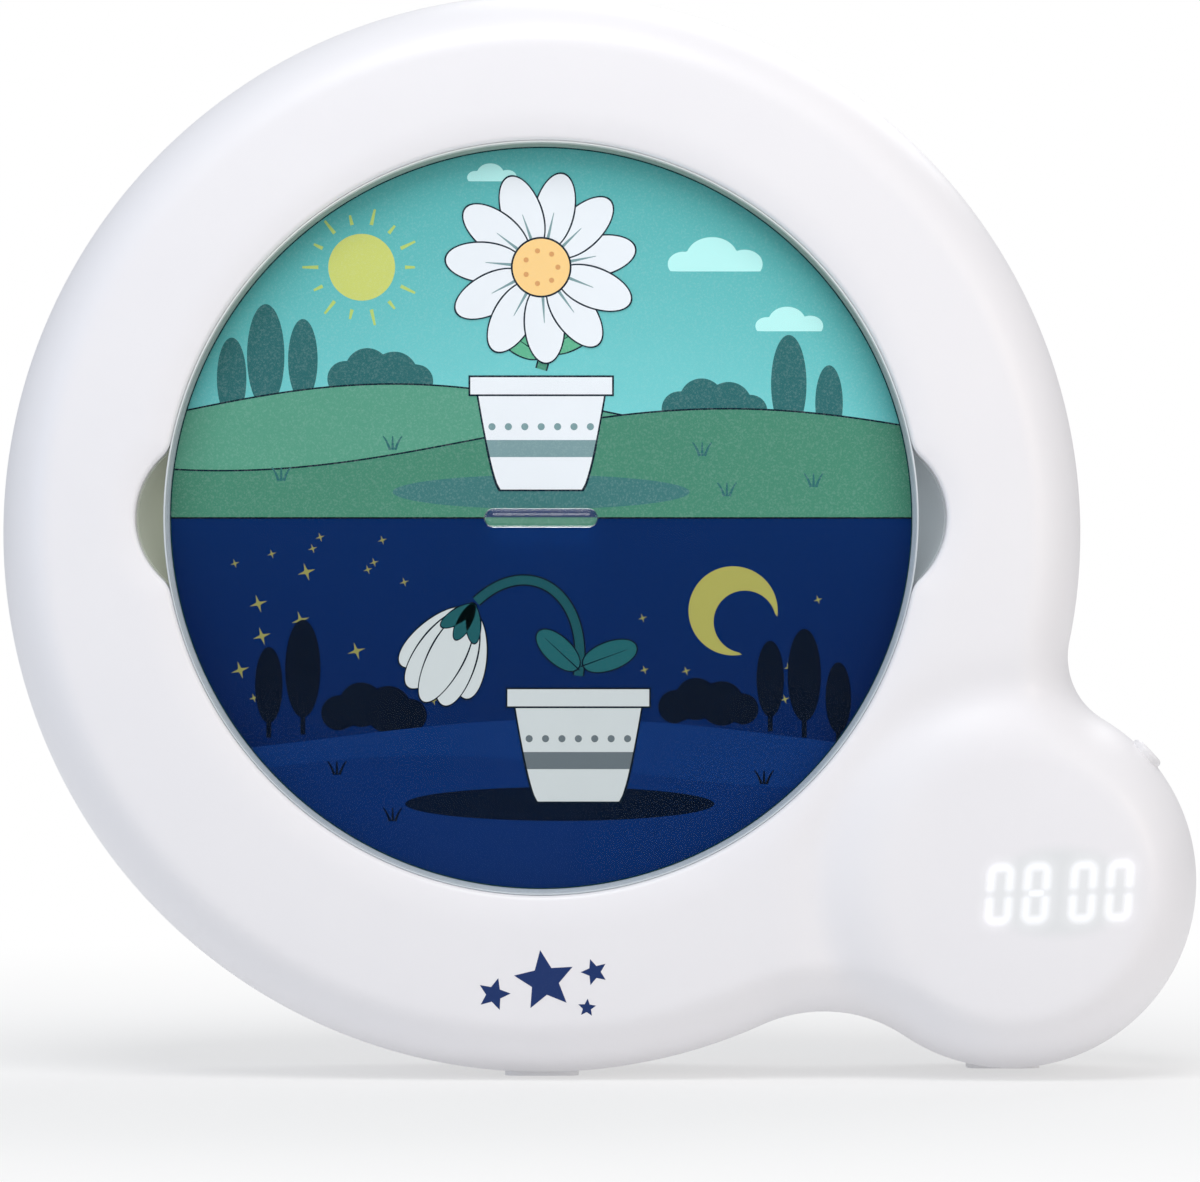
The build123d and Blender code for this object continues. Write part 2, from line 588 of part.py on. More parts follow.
def light_box():
    body = rod(RING_X, OPENING_Z, FLANGE_R, FLANGE_Y, FLANGE_Y + FLANGE_T)
    for angle in LUG_ANGLES:
        x, z = on_circle(LUG_AT, angle, RING_X, OPENING_Z)
        ix, iz = on_circle(FLANGE_R - LUG_R, angle, RING_X, OPENING_Z)
        body += rod(x, z, LUG_R, FLANGE_Y, FLANGE_Y + FLANGE_T)
        arm = Rot(0, 0, angle) * Rectangle(LUG_OUT + LUG_R, 2 * LUG_R)
        body += slab(Pos((x + ix) / 2, (z + iz) / 2) * arm, FLANGE_Y, FLANGE_Y + FLANGE_T)
    bays = slab(opening(0), FLANGE_Y, FLANGE_Y + FLANGE_T)
    body -= bays - rod(RING_X, OPENING_Z, BOX_R, FLANGE_Y, BOX_REAR_Y)
    body += rod(RING_X, OPENING_Z, BOX_R, SEAT_Y, BOX_REAR_Y)
    for side in (-1, 1):
        body += scoop(side)
    body -= rod(RING_X, OPENING_Z, DIFFUSER_R, SEAT_Y, DIFFUSER_REAR_Y)
    body -= rod(RING_X, OPENING_Z, BOX_INSIDE_R, DIFFUSER_REAR_Y, BOX_FLOOR_Y)
    for angle in LUG_ANGLES:
        x, z = on_circle(LUG_AT, angle, RING_X, OPENING_Z)
        body -= rod(x, z, SMALL_SCREW_R + PASS_GAP, FLANGE_Y, FLANGE_Y + FLANGE_T)
    for side in (-1, 1):
        x, z = lamp_lead_point(side)
        body -= rod(x, z, LEAD_HOLE_R, BOX_FLOOR_Y, BOX_REAR_Y)
    return body


def light_divider():
    length = 2 * (BOX_INSIDE_R - DIVIDER_GAP)
    return block(RING_X, OPENING_Z, length, DIVIDER_T, DIFFUSER_REAR_Y, BOX_FLOOR_Y)


def lamp_lead_point(side):
    """Where a lamp board's lead passes the light box floor, above (1) or below (-1)."""
    return RING_X + LAMP_BOARD_LENGTH / 2 + 2 * LEAD_HOLE_R, OPENING_Z + side * LAMP_BOARD_OUT


def lamp_board(side):
    z = OPENING_Z + side * LAMP_BOARD_OUT
    return block(RING_X, z, LAMP_BOARD_LENGTH, LAMP_BOARD_HEIGHT, BOX_FLOOR_Y - LAMP_BOARD_T, BOX_FLOOR_Y)


def lamps(side):
    y = BOX_FLOOR_Y - LAMP_BOARD_T
    z = OPENING_Z + side * LAMP_BOARD_OUT
    solids = []
    for number in range(LAMP_COUNT):
        x = RING_X + (number - (LAMP_COUNT - 1) / 2) * LAMP_PITCH
        solids.append(block(x, z, LAMP_SIZE, LAMP_SIZE, y - LAMP_T, y))
    return Compound(solids)


# ---- screws ----

SCREW_SEAT_Y = PARTING_Y + SCREW_GRIP


def housing_screw_points():
    points = [on_circle(RING_SCREW_AT, angle) for angle in RING_SCREW_ANGLES]
    points.append((POD_X, POD_Z + POD_SCREW_AT))
    points.append((POD_X, POD_Z - POD_SCREW_AT))
    return points


CROSS_LENGTH = 1.1        # of a cross recess, as a share of the head's radius
CROSS_WIDTH = 0.3


def screw(x, z, shaft_r, head_r, head_t, y_seat, length):
    """A pan-head screw with a cross recess, driven towards the front."""
    head = rod(x, z, head_r, y_seat, y_seat + head_t)
    head = fillet(edges_at(head, y_seat + head_t), head_t / 3)
    for turn in (0, 90):
        bar = Pos(x, z) * Rot(0, 0, turn) * Rectangle(head_r * CROSS_LENGTH, head_r * CROSS_WIDTH)
        head -= slab(bar, y_seat + head_t / 2, y_seat + head_t)
    return head + rod(x, z, shaft_r, y_seat - length, y_seat)


def housing_screws():
    solids = []
    for x, z in housing_screw_points():
        solids.append(screw(x, z, SCREW_R, SCREW_HEAD_R, SCREW_HEAD_T, SCREW_SEAT_Y, SCREW_LENGTH))
    return Compound(solids)


def light_box_screws():
    solids = []
    for angle in LUG_ANGLES:
        x, z = on_circle(LUG_AT, angle, RING_X, OPENING_Z)
        y_seat = FLANGE_Y + FLANGE_T
        length = y_seat - FRONT_INSIDE_Y - TIP_ROOM
        solids.append(screw(x, z, SMALL_SCREW_R, SMALL_HEAD_R, SMALL_HEAD_T, y_seat, length))
    return Compound(solids)


def display_screws():
    y_seat = DISPLAY_BOARD_Y + BOARD_T
    length = y_seat - (POD_FRONT_Y + WALL) - TIP_ROOM
    solids = []
    for x, z in display_boss_points():
        solids.append(screw(x, z, SMALL_SCREW_R, SMALL_HEAD_R, SMALL_HEAD_T, y_seat, length))
    return Compound(solids)


def main_board_points():
    x_off = MAIN_BOARD_LENGTH / 2 - BOARD_EDGE
    z_off = MAIN_BOARD_HEIGHT / 2 - BOARD_EDGE
    return [(RING_X + sx * x_off, CONTROL_Z + sz * z_off) for sx in (-1, 1) for sz in (-1, 1)]


def main_board_screws():
    """The main board's screws are driven towards the rear."""
    solids = []
    for x, z in main_board_points():
        one = screw(x, z, SMALL_SCREW_R, SMALL_HEAD_R, SMALL_HEAD_T, 0, SMALL_SCREW_LENGTH)
        one = one.mirror(Plane.XZ)
        solids.append(Pos(0, MAIN_BOARD_Y, 0) * one)
    return Compound(solids)


# ---- rear housing ----

def grille_holes():
    holes = [(RING_X, SPEAKER_Z)]
    for ring in range(1, GRILLE_RINGS + 1):
        for number in range(6 * ring):
            angle = 360.0 * number / (6 * ring)
            holes.append(on_circle(ring * GRILLE_PITCH, angle, RING_X, SPEAKER_Z))
    return holes


def button_offsets():
    return [(number - 2) * BUTTON_PITCH for number in range(5)]


def door_outline(grow):
    """The battery door with its round screw tab."""
    shape = RectangleRounded(
        2 * (DOOR_HALF_LENGTH + grow), 2 * (DOOR_HALF_HEIGHT + grow), DOOR_CORNER_R + grow)
    plate = Pos(RING_X, BATTERY_Z) * shape
    return plate + Pos(RING_X, DOOR_TAB_Z) * Circle(DOOR_TAB_R + grow)


def joint_lip():
    """The lip that centres the two housings, just inside the front housing's wall."""
    inner = outline(WALL + LIP_GAP + LIP_WALL)
    lip = slab(outline(WALL + LIP_GAP) - inner, PARTING_Y - LIP_DEPTH, PARTING_Y)
    root = slab(outline(WALL - JOIN) - inner, PARTING_Y, PARTING_Y + 2 * LIP_WALL)
    return lip + root


def speaker_pocket():
    wall = Circle(POCKET_R) - Circle(SPEAKER_R + POCKET_GAP)
    return slab(Pos(RING_X, SPEAKER_Z) * wall, REAR_INSIDE_Y - POCKET_DEPTH, REAR_INSIDE_Y)


def rear_housing():
    body = rounded_outline(0, PARTING_Y, REAR_Y, REAR_Y, REAR_EDGE_R)
    body -= rounded_outline(WALL, PARTING_Y, REAR_INSIDE_Y, REAR_INSIDE_Y, REAR_EDGE_R - WALL)
    body += joint_lip()
    body += speaker_pocket()
    pad = RECESS_LENGTH + 2 * WALL
    body += block(RING_X, CONTROL_Z, pad, RECESS_HEIGHT + 2 * WALL, RECESS_INSIDE_Y, REAR_INSIDE_Y)
    length = COMPARTMENT_LENGTH + 2 * COMPARTMENT_WALL
    height = COMPARTMENT_HEIGHT + 2 * COMPARTMENT_WALL
    body += block(RING_X, BATTERY_Z, length, height, COMPARTMENT_Y - COMPARTMENT_WALL, REAR_INSIDE_Y)
    body += slab(door_outline(WALL), DOOR_INSIDE_Y - WALL, REAR_INSIDE_Y)
    for x, z in housing_screw_points():
        body += rod(x, z, SCREW_WELL_R, PARTING_Y, REAR_INSIDE_Y)
    for x, z in main_board_points():
        body += rod(x, z, SMALL_BOSS_R, BOARD_REAR_Y, REAR_INSIDE_Y)
    body += rod(RING_X, DOOR_TAB_Z, BOSS_R, DOOR_INSIDE_Y - DOOR_SCREW_LENGTH - WALL, DOOR_INSIDE_Y)
    return rear_cuts(body)


def rear_cuts(body):
    """Everything that is hollowed out of the rear housing."""
    body -= slab(door_outline(0), DOOR_INSIDE_Y, REAR_Y)
    body -= block(RING_X, BATTERY_Z, COMPARTMENT_LENGTH, COMPARTMENT_HEIGHT, COMPARTMENT_Y, REAR_Y)
    body -= rod(RING_X, DOOR_TAB_Z, SCREW_R + PASS_GAP, DOOR_INSIDE_Y - DOOR_SCREW_LENGTH, REAR_Y)
    recess = Pos(RING_X, CONTROL_Z) * RectangleRounded(RECESS_LENGTH, RECESS_HEIGHT, RECESS_CORNER_R)
    body -= slab(recess, RECESS_FLOOR_Y, REAR_Y)
    for offset in button_offsets():
        body -= pill(RING_X + offset, CONTROL_Z, BUTTON_LENGTH + 2 * BUTTON_GAP,
                     BUTTON_HEIGHT + 2 * BUTTON_GAP, RECESS_INSIDE_Y, RECESS_FLOOR_Y)
    slot = KNOB_LEVER + 2 * KNOB_TRAVEL + 2 * BUTTON_GAP
    body -= block(RING_X + KNOB_OUT, CONTROL_Z, slot, KNOB_SLOT_HEIGHT, RECESS_INSIDE_Y, RECESS_FLOOR_Y)
    body -= pill(RING_X - KNOB_OUT, CONTROL_Z, USB_WIDTH + 2 * USB_GAP, USB_HEIGHT + 2 * USB_GAP,
                 RECESS_INSIDE_Y, RECESS_FLOOR_Y)
    for x, z in housing_screw_points():
        body -= rod(x, z, SCREW_HEAD_R + HEAD_GAP, SCREW_SEAT_Y, REAR_Y)
        body -= rod(x, z, SCREW_R + PASS_GAP, PARTING_Y, SCREW_SEAT_Y)
    for x, z in main_board_points():
        body -= rod(x, z, SMALL_SCREW_R + THREAD_GAP, BOARD_REAR_Y, BOARD_REAR_Y + SMALL_SCREW_LENGTH)
    for x, z in grille_holes():
        body -= rod(x, z, GRILLE_HOLE_R, REAR_INSIDE_Y, REAR_Y)
    body -= ring_foot(REAR_FOOT_Y, FOOT_GAP)
    body -= pod_foot(FOOT_GAP)
    return body


# ---- main board and rear controls ----

def main_board():
    board = block(RING_X, CONTROL_Z, MAIN_BOARD_LENGTH, MAIN_BOARD_HEIGHT, MAIN_BOARD_Y, BOARD_REAR_Y)
    for x, z in main_board_points():
        board -= rod(x, z, SMALL_SCREW_R + PASS_GAP, MAIN_BOARD_Y, BOARD_REAR_Y)
    return board


def board_chips():
    """Processor, driver, memory, crystal and two capacitors on the board's front face."""
    parts = []
    for right, up, length, height in CHIPS:
        x, z = board_point(right, up)
        parts.append(block(x, z, length, height, MAIN_BOARD_Y - CHIP_T, MAIN_BOARD_Y))
    right, up, length, height = CRYSTAL
    parts.append(pill(RING_X + right, CONTROL_Z + up, length, height, MAIN_BOARD_Y - CRYSTAL_T, MAIN_BOARD_Y))
    for right in CAPACITORS_RIGHT:
        parts.append(rod(RING_X + right, CONTROL_Z, CAPACITOR_R, MAIN_BOARD_Y - CAPACITOR_T, MAIN_BOARD_Y))
    return Compound(parts)


def tact_switches():
    solids = []
    for offset in button_offsets():
        x = RING_X + offset
        body = block(x, CONTROL_Z, SWITCH_SIZE, SWITCH_SIZE, BOARD_REAR_Y, SWITCH_TOP_Y)
        solids.append(body + rod(x, CONTROL_Z, PLUNGER_R, SWITCH_TOP_Y, PLUNGER_Y))
    return Compound(solids)


def rear_button(offset):
    x = RING_X + offset
    y_flange = RECESS_INSIDE_Y - BUTTON_REST
    y_stem = PLUNGER_Y + BUTTON_TRAVEL + TRAVEL_SPARE
    cap = pill(x, CONTROL_Z, BUTTON_LENGTH, BUTTON_HEIGHT, y_flange, RECESS_FLOOR_Y + BUTTON_RISE)
    cap = fillet(edges_at(cap, RECESS_FLOOR_Y + BUTTON_RISE), BUTTON_EDGE_R)
    length = BUTTON_LENGTH + 2 * BUTTON_FLANGE
    height = BUTTON_HEIGHT + 2 * BUTTON_FLANGE
    cap += pill(x, CONTROL_Z, length, height, y_flange - BUTTON_FLANGE_T, y_flange)
    return cap + rod(x, CONTROL_Z, STEM_R, y_stem, y_flange)


def mode_switch_body():
    x = RING_X + KNOB_OUT
    top = BOARD_REAR_Y + MODE_BODY_T
    body = block(x, CONTROL_Z, MODE_BODY_LENGTH, MODE_BODY_HEIGHT, BOARD_REAR_Y, top)
    slot = KNOB_LEVER + 2 * KNOB_TRAVEL + 2 * BUTTON_GAP
    return body - block(x, CONTROL_Z, slot, KNOB_LEVER + 2 * BUTTON_GAP, top - MODE_BODY_T / 2, top)


def mode_switch_knob():
    x = RING_X + KNOB_OUT
    top = RECESS_FLOOR_Y + BUTTON_RISE
    y_cap = RECESS_FLOOR_Y + KNOB_GAP
    knob = block(x, CONTROL_Z, KNOB_LENGTH, KNOB_HEIGHT, y_cap, top)
    knob = fillet(edges_at(knob, top), KNOB_GROOVE)
    for number in (-1, 0, 1):
        groove = KNOB_LENGTH / 4 * number
        knob -= block(x + groove, CONTROL_Z, KNOB_GROOVE, KNOB_HEIGHT, top - KNOB_GROOVE, top)
    y_tip = BOARD_REAR_Y + MODE_BODY_T * 0.6
    lever = block(x, CONTROL_Z, KNOB_LEVER, KNOB_LEVER, y_tip, y_cap)
    y_flange = RECESS_INSIDE_Y - KNOB_GAP
    flange = block(x, CONTROL_Z, KNOB_LENGTH, KNOB_HEIGHT, y_flange - KNOB_FLANGE_T, y_flange)
    return knob + lever + flange


def usb_inlet():
    """An upright micro socket on the main board, open to the rear."""
    x = RING_X - KNOB_OUT
    shell = pill(x, CONTROL_Z, USB_WIDTH, USB_HEIGHT, BOARD_REAR_Y, RECESS_FLOOR_Y)
    inner = USB_HEIGHT - 2 * USB_WALL
    y_floor = RECESS_FLOOR_Y - USB_DEPTH
    shell -= pill(x, CONTROL_Z, USB_WIDTH - 2 * USB_WALL, inner, y_floor, RECESS_FLOOR_Y)
    return shell + block(x, CONTROL_Z, USB_WIDTH / 2, USB_TONGUE, y_floor, RECESS_FLOOR_Y - USB_TONGUE)


# ---- speaker ----

SPEAKER_FLANGE_Y = REAR_INSIDE_Y - GASKET_T - SPEAKER_FLANGE_T
SPEAKER_BACK_Y = SPEAKER_FLANGE_Y - SPEAKER_DEPTH


def revolve_profile(points):
    outline_points = [(RING_X + r, y) for r, y in points]
    wire = Polyline(*outline_points, close=True)
    face = Plane(origin=(0, 0, SPEAKER_Z), x_dir=(1, 0, 0), z_dir=(0, 0, 1)) * make_face(wire)
    return revolve(face, Axis((RING_X, 0, SPEAKER_Z), (0, 1, 0)))


def speaker_basket():
    inner = SPEAKER_R - SPEAKER_FLANGE_W
    back = MAGNET_R + SPEAKER_METAL
    y0 = SPEAKER_BACK_Y
    y1 = SPEAKER_FLANGE_Y
    return revolve_profile([
        (0, y0), (back, y0), (inner + SPEAKER_METAL, y1), (SPEAKER_R, y1),
        (SPEAKER_R, y1 + SPEAKER_FLANGE_T), (inner, y1 + SPEAKER_FLANGE_T),
        (inner, y1), (back - SPEAKER_METAL, y0 + SPEAKER_METAL), (0, y0 + SPEAKER_METAL)])


def speaker_magnet():
    magnet = rod(RING_X, SPEAKER_Z, MAGNET_R, SPEAKER_BACK_Y - MAGNET_T, SPEAKER_BACK_Y)
    return fillet(edges_at(magnet, SPEAKER_BACK_Y - MAGNET_T), MAGNET_EDGE_R)


def speaker_cone():
    """Cone with its dust cap; the rim seats on the basket's inner edge."""
    rim = SPEAKER_R - SPEAKER_FLANGE_W
    y_rim = SPEAKER_FLANGE_Y + SPEAKER_FLANGE_T
    y_cap = SPEAKER_BACK_Y + SPEAKER_METAL + CAP_RISE
    return revolve_profile([
        (0, y_cap), (CAP_R, y_cap), (rim - CONE_ROLL, y_rim - CONE_T), (rim, y_rim - CONE_T), (rim, y_rim),
        (rim - CONE_ROLL, y_rim), (CAP_R, y_cap + 2 * CONE_T), (0, y_cap + CAP_RISE)])


def speaker_gasket():
    ring = Circle(SPEAKER_R) - Circle(SPEAKER_R - SPEAKER_FLANGE_W)
    return slab(Pos(RING_X, SPEAKER_Z) * ring, REAR_INSIDE_Y - GASKET_T, REAR_INSIDE_Y)


# ---- batteries ----

def cell_rows():
    """Height and direction of each cell; neighbours lie head to tail."""
    middle = (CELL_COUNT - 1) / 2
    return [(BATTERY_Z + (n - middle) * CELL_PITCH, 1 if n % 2 else -1) for n in range(CELL_COUNT)]


def along_x(x_from, x_to, z, r):
    return Pos((x_from + x_to) / 2, CELL_Y, z) * Rot(0, 90, 0) * Cylinder(r, abs(x_to - x_from))


def nub_end(side):
    """X of the contact face that a cell's nub touches."""
    return RING_X + side * (COMPARTMENT_LENGTH / 2 - CONTACT_T)


def aa_cells():
    cells = []
    for z, side in cell_rows():
        tip = nub_end(side)
        shoulder = tip - side * CELL_NUB
        base = tip - side * CELL_LENGTH
        cells.append(along_x(base, shoulder, z, CELL_R) + along_x(shoulder, tip, z, CELL_NUB_R))
    return Compound(cells)


def battery_contacts():
    solids = []
    for z, side in cell_rows():
        for end in (-1, 1):
            x = RING_X + end * (COMPARTMENT_LENGTH - CONTACT_T) / 2
            solids.append(Pos(x, CELL_Y, z) * Box(CONTACT_T, CONTACT_SIZE, CONTACT_SIZE))
    return Compound(solids)


def battery_springs():
    """A tapered spring of closed turns at the flat end of each cell."""
    turns = ceil(SPRING_ROOM / (2 * SPRING_WIRE_R)) + 1
    step = (SPRING_ROOM - 2 * SPRING_WIRE_R) / (turns - 1)
    solids = []
    for z, side in cell_rows():
        start = nub_end(-side)
        spring = Part()
        for turn in range(turns):
            x = start + side * (SPRING_WIRE_R + turn * step)
            radius = SPRING_R - SPRING_TAPER * turn / (turns - 1)
            spring += Pos(x, CELL_Y, z) * Rot(0, 90, 0) * Torus(radius, SPRING_WIRE_R)
        solids.append(spring)
    return Compound(solids)


def battery_door():
    door = slab(door_outline(-DOOR_GAP), DOOR_INSIDE_Y, DOOR_INSIDE_Y + DOOR_T)
    for side in (-1, 1):
        z = BATTERY_Z + side * (COMPARTMENT_HEIGHT / 2 - DOOR_RIB_T)
        door += block(RING_X, z, COMPARTMENT_LENGTH / 2, DOOR_RIB_T, DOOR_INSIDE_Y - DOOR_RIB, DOOR_INSIDE_Y)
    y_face = DOOR_INSIDE_Y + DOOR_T
    door -= rod(RING_X, DOOR_TAB_Z, SCREW_R + THREAD_GAP, DOOR_INSIDE_Y, y_face)
    return door - rod(RING_X, DOOR_TAB_Z, SCREW_HEAD_R + HEAD_GAP / 2, y_face - DOOR_HEAD_T, y_face)


def door_screw():
    seat = DOOR_INSIDE_Y + DOOR_T - DOOR_HEAD_T
    return screw(RING_X, DOOR_TAB_Z, SCREW_R, SCREW_HEAD_R, DOOR_HEAD_T, seat, DOOR_SCREW_LENGTH - TIP_ROOM)


# ---- display ----

def digit_centres():
    """The digits' middles along the row, in two pairs."""
    near = PAIR_GAP / 2
    return [-near - DIGIT_PITCH, -near, near, near + DIGIT_PITCH]


def on_display(x, z):
    """A point of the display row, leaned and tilted, as X and Z."""
    lean = x + z * sin(radians(DIGIT_LEAN))
    turn = radians(DISPLAY_TILT)
    right = lean * cos(turn) - z * sin(turn)
    up = lean * sin(turn) + z * cos(turn)
    return DISPLAY_X + right, DISPLAY_Z + up


def segment_lines():
    """End points of the seven segments of each digit, along their middle lines."""
    w = DIGIT_WIDTH / 2
    h = DIGIT_HEIGHT / 2
    g = SEGMENT_GAP + SEGMENT_T / 2
    lines = []
    for c in digit_centres():
        for level in (-h, 0, h):
            lines.append(((c - w + g, level), (c + w - g, level)))
        for side in (-w, w):
            lines.append(((c + side, -h + g), (c + side, -g)))
            lines.append(((c + side, g), (c + side, h - g)))
    return lines


def segment(line, y_front, y_rear):
    """One segment as a bar between its end points."""
    (x0, z0), (x1, z1) = [on_display(*point) for point in line]
    angle = degrees(atan2(z1 - z0, x1 - x0))
    bar = Rot(0, 0, angle) * Rectangle(hypot(x1 - x0, z1 - z0), SEGMENT_T)
    return slab(Pos((x0 + x1) / 2, (z0 + z1) / 2) * bar, y_front, y_rear)


def colon_points():
    return [on_display(0, side * DIGIT_HEIGHT / 4) for side in (-1, 1)]


def display_film():
    return display_cutter(0, SKIN_Y, MASK_Y)


def display_mask():
    """A block with one light well for each segment and each colon dot."""
    wells = [segment(line, MASK_Y, DISPLAY_BOARD_Y) for line in segment_lines()]
    wells += [rod(x, z, COLON_R, MASK_Y, DISPLAY_BOARD_Y) for x, z in colon_points()]
    return display_cutter(0, MASK_Y, DISPLAY_BOARD_Y) - wells


def display_board():
    x_middle = DISPLAY_X + (DISPLAY_BOARD_RIGHT - DISPLAY_BOARD_LEFT) / 2
    z_middle = DISPLAY_Z + (DISPLAY_BOARD_TOP - DISPLAY_BOARD_BOTTOM) / 2
    length = DISPLAY_BOARD_LEFT + DISPLAY_BOARD_RIGHT
    height = DISPLAY_BOARD_TOP + DISPLAY_BOARD_BOTTOM
    y_rear = DISPLAY_BOARD_Y + BOARD_T
    board = block(x_middle, z_middle, length, height, DISPLAY_BOARD_Y, y_rear)
    for x, z in display_boss_points():
        board -= rod(x, z, SMALL_SCREW_R + PASS_GAP, DISPLAY_BOARD_Y, y_rear)
    return board


def digit_leds():
    """A chip lamp behind each segment and colon dot."""
    length, width, height = CHIP_LED
    solids = []
    for line in segment_lines():
        (x0, z0), (x1, z1) = [on_display(*point) for point in line]
        angle = degrees(atan2(z1 - z0, x1 - x0))
        chip = Pos((x0 + x1) / 2, (z0 + z1) / 2) * Rot(0, 0, angle) * Rectangle(length, width)
        solids.append(slab(chip, DISPLAY_BOARD_Y - height, DISPLAY_BOARD_Y))
    for x, z in colon_points():
        chip = Pos(x, z) * Rectangle(COLON_R, COLON_R)
        solids.append(slab(chip, DISPLAY_BOARD_Y - height, DISPLAY_BOARD_Y))
    return Compound(solids)


def display_driver():
    x = DISPLAY_X - DISPLAY_BOARD_LEFT / 4
    y = DISPLAY_BOARD_Y + BOARD_T
    return block(x, DISPLAY_Z, DRIVER_LENGTH, DRIVER_HEIGHT, y, y + CHIP_T)


# ---- pod button ----

def light_switch_board():
    size = FLANK_BOARD_SIZE - 2 * RIB_GAP
    return radial_block(size, size, FLANK_BOARD_R - BOARD_T, FLANK_BOARD_R)


def light_switch():
    body = radial_block(SWITCH_SIZE, SWITCH_SIZE, FLANK_BOARD_R, FLANK_SWITCH_R)
    return body + extrude(radial(FLANK_SWITCH_R) * Circle(PLUNGER_R), PLUNGER_T)


def light_button():
    top = POD_R + POD_BUTTON_RISE
    cap = radial_pill(POD_BUTTON_LENGTH, POD_BUTTON_WIDTH, FLANK_FLANGE_R, top)
    cap = fillet(cap.edges().group_by(Axis((0, 0, 0), radial(0).z_dir))[-1], POD_BUTTON_EDGE_R)
    grow = 2 * BUTTON_FLANGE
    cap += radial_pill(POD_BUTTON_LENGTH + grow, POD_BUTTON_WIDTH + grow,
                       FLANK_FLANGE_R - BUTTON_FLANGE_T, FLANK_FLANGE_R)
    stem = extrude(radial(FLANK_STEM_R) * Circle(STEM_R), FLANK_FLANGE_R - FLANK_STEM_R)
    return cap + stem


# ---- feet ----

def feet(pads):
    return Compound([fillet(pad.edges().filter_by(Axis.Z), FOOT_CORNER_R) for pad in pads])


# ---- leads ----

def lead(points, bend):
    """A round lead of straight runs and round bends."""
    path = FilletPolyline(*points, radius=bend)
    start = Plane(origin=path @ 0, z_dir=path % 0)
    return sweep(start * Circle(LEAD_R), path=path)


def board_point(right, up):
    """A solder point on the main board."""
    return RING_X + right, CONTROL_Z + up


def lamp_lead(side):
    """From a lamp board, through the light box floor, to the main board."""
    x, z = lamp_lead_point(side)
    board_end = RING_X + LAMP_BOARD_LENGTH / 2
    y_board = BOX_FLOOR_Y - LEAD_R - LEAD_OFF
    to_x, to_z = board_point(LAMP_LEAD_RIGHT, side * LAMP_LEAD_UP)
    points = [
        (board_end, y_board, z), (x, y_board, z), (x, LEAD_Y, z),
        (to_x, LEAD_Y, to_z), (to_x, MAIN_BOARD_Y, to_z)]
    return lead(points, LEAD_BEND)


def display_lead():
    x = DISPLAY_X - DISPLAY_BOARD_LEFT * 0.7
    y = DISPLAY_BOARD_Y + BOARD_T
    to_x, to_z = board_point(DISPLAY_LEAD_RIGHT, LEAD_EDGE - MAIN_BOARD_HEIGHT / 2)
    points = [
        (x, y, DISPLAY_Z), (x, DISPLAY_LEAD_Y, DISPLAY_Z),
        (to_x, DISPLAY_LEAD_Y, to_z), (to_x, MAIN_BOARD_Y, to_z)]
    return lead(points, 2 * LEAD_BEND)


def light_switch_lead():
    """From the small switch board down to the display board."""
    start = radial(FLANK_BOARD_R - BOARD_T).origin
    y_board = DISPLAY_BOARD_Y + BOARD_T
    end_x = DISPLAY_X + DISPLAY_BOARD_RIGHT / 3
    x, z = on_circle(FLANK_BOARD_R - BOARD_T - 3 * LEAD_BEND, POD_BUTTON_ANGLE, POD_X, POD_Z)
    points = [
        (start.X, start.Y, start.Z), (x, start.Y, z),
        (end_x, start.Y, DISPLAY_Z), (end_x, y_board, DISPLAY_Z)]
    return lead(points, LEAD_BEND)


def speaker_lead():
    z = SPEAKER_Z - SPEAKER_R + SPEAKER_FLANGE_W / 2
    y_low = MAIN_BOARD_Y - 2 * LEAD_BEND
    x, to_z = board_point(0, MAIN_BOARD_HEIGHT / 2 - LEAD_EDGE)
    points = [(x, SPEAKER_FLANGE_Y, z), (x, y_low, z), (x, y_low, to_z), (x, MAIN_BOARD_Y, to_z)]
    return lead(points, LEAD_BEND)


def battery_lead():
    """Up from the battery compartment's top wall, behind the door screw's boss, to the main board."""
    x = RING_X + COMPARTMENT_LENGTH / 4
    z = BATTERY_Z + COMPARTMENT_HEIGHT / 2 + COMPARTMENT_WALL
    to_z = CONTROL_Z - MAIN_BOARD_HEIGHT / 2 + LEAD_EDGE
    points = [(x, COMPARTMENT_Y, z), (x, COMPARTMENT_Y, to_z), (x, MAIN_BOARD_Y, to_z)]
    return lead(points, LEAD_BEND)


BUTTON_NAMES = ("button_hour", "button_minute", "button_alarm", "button_volume", "button_timer")


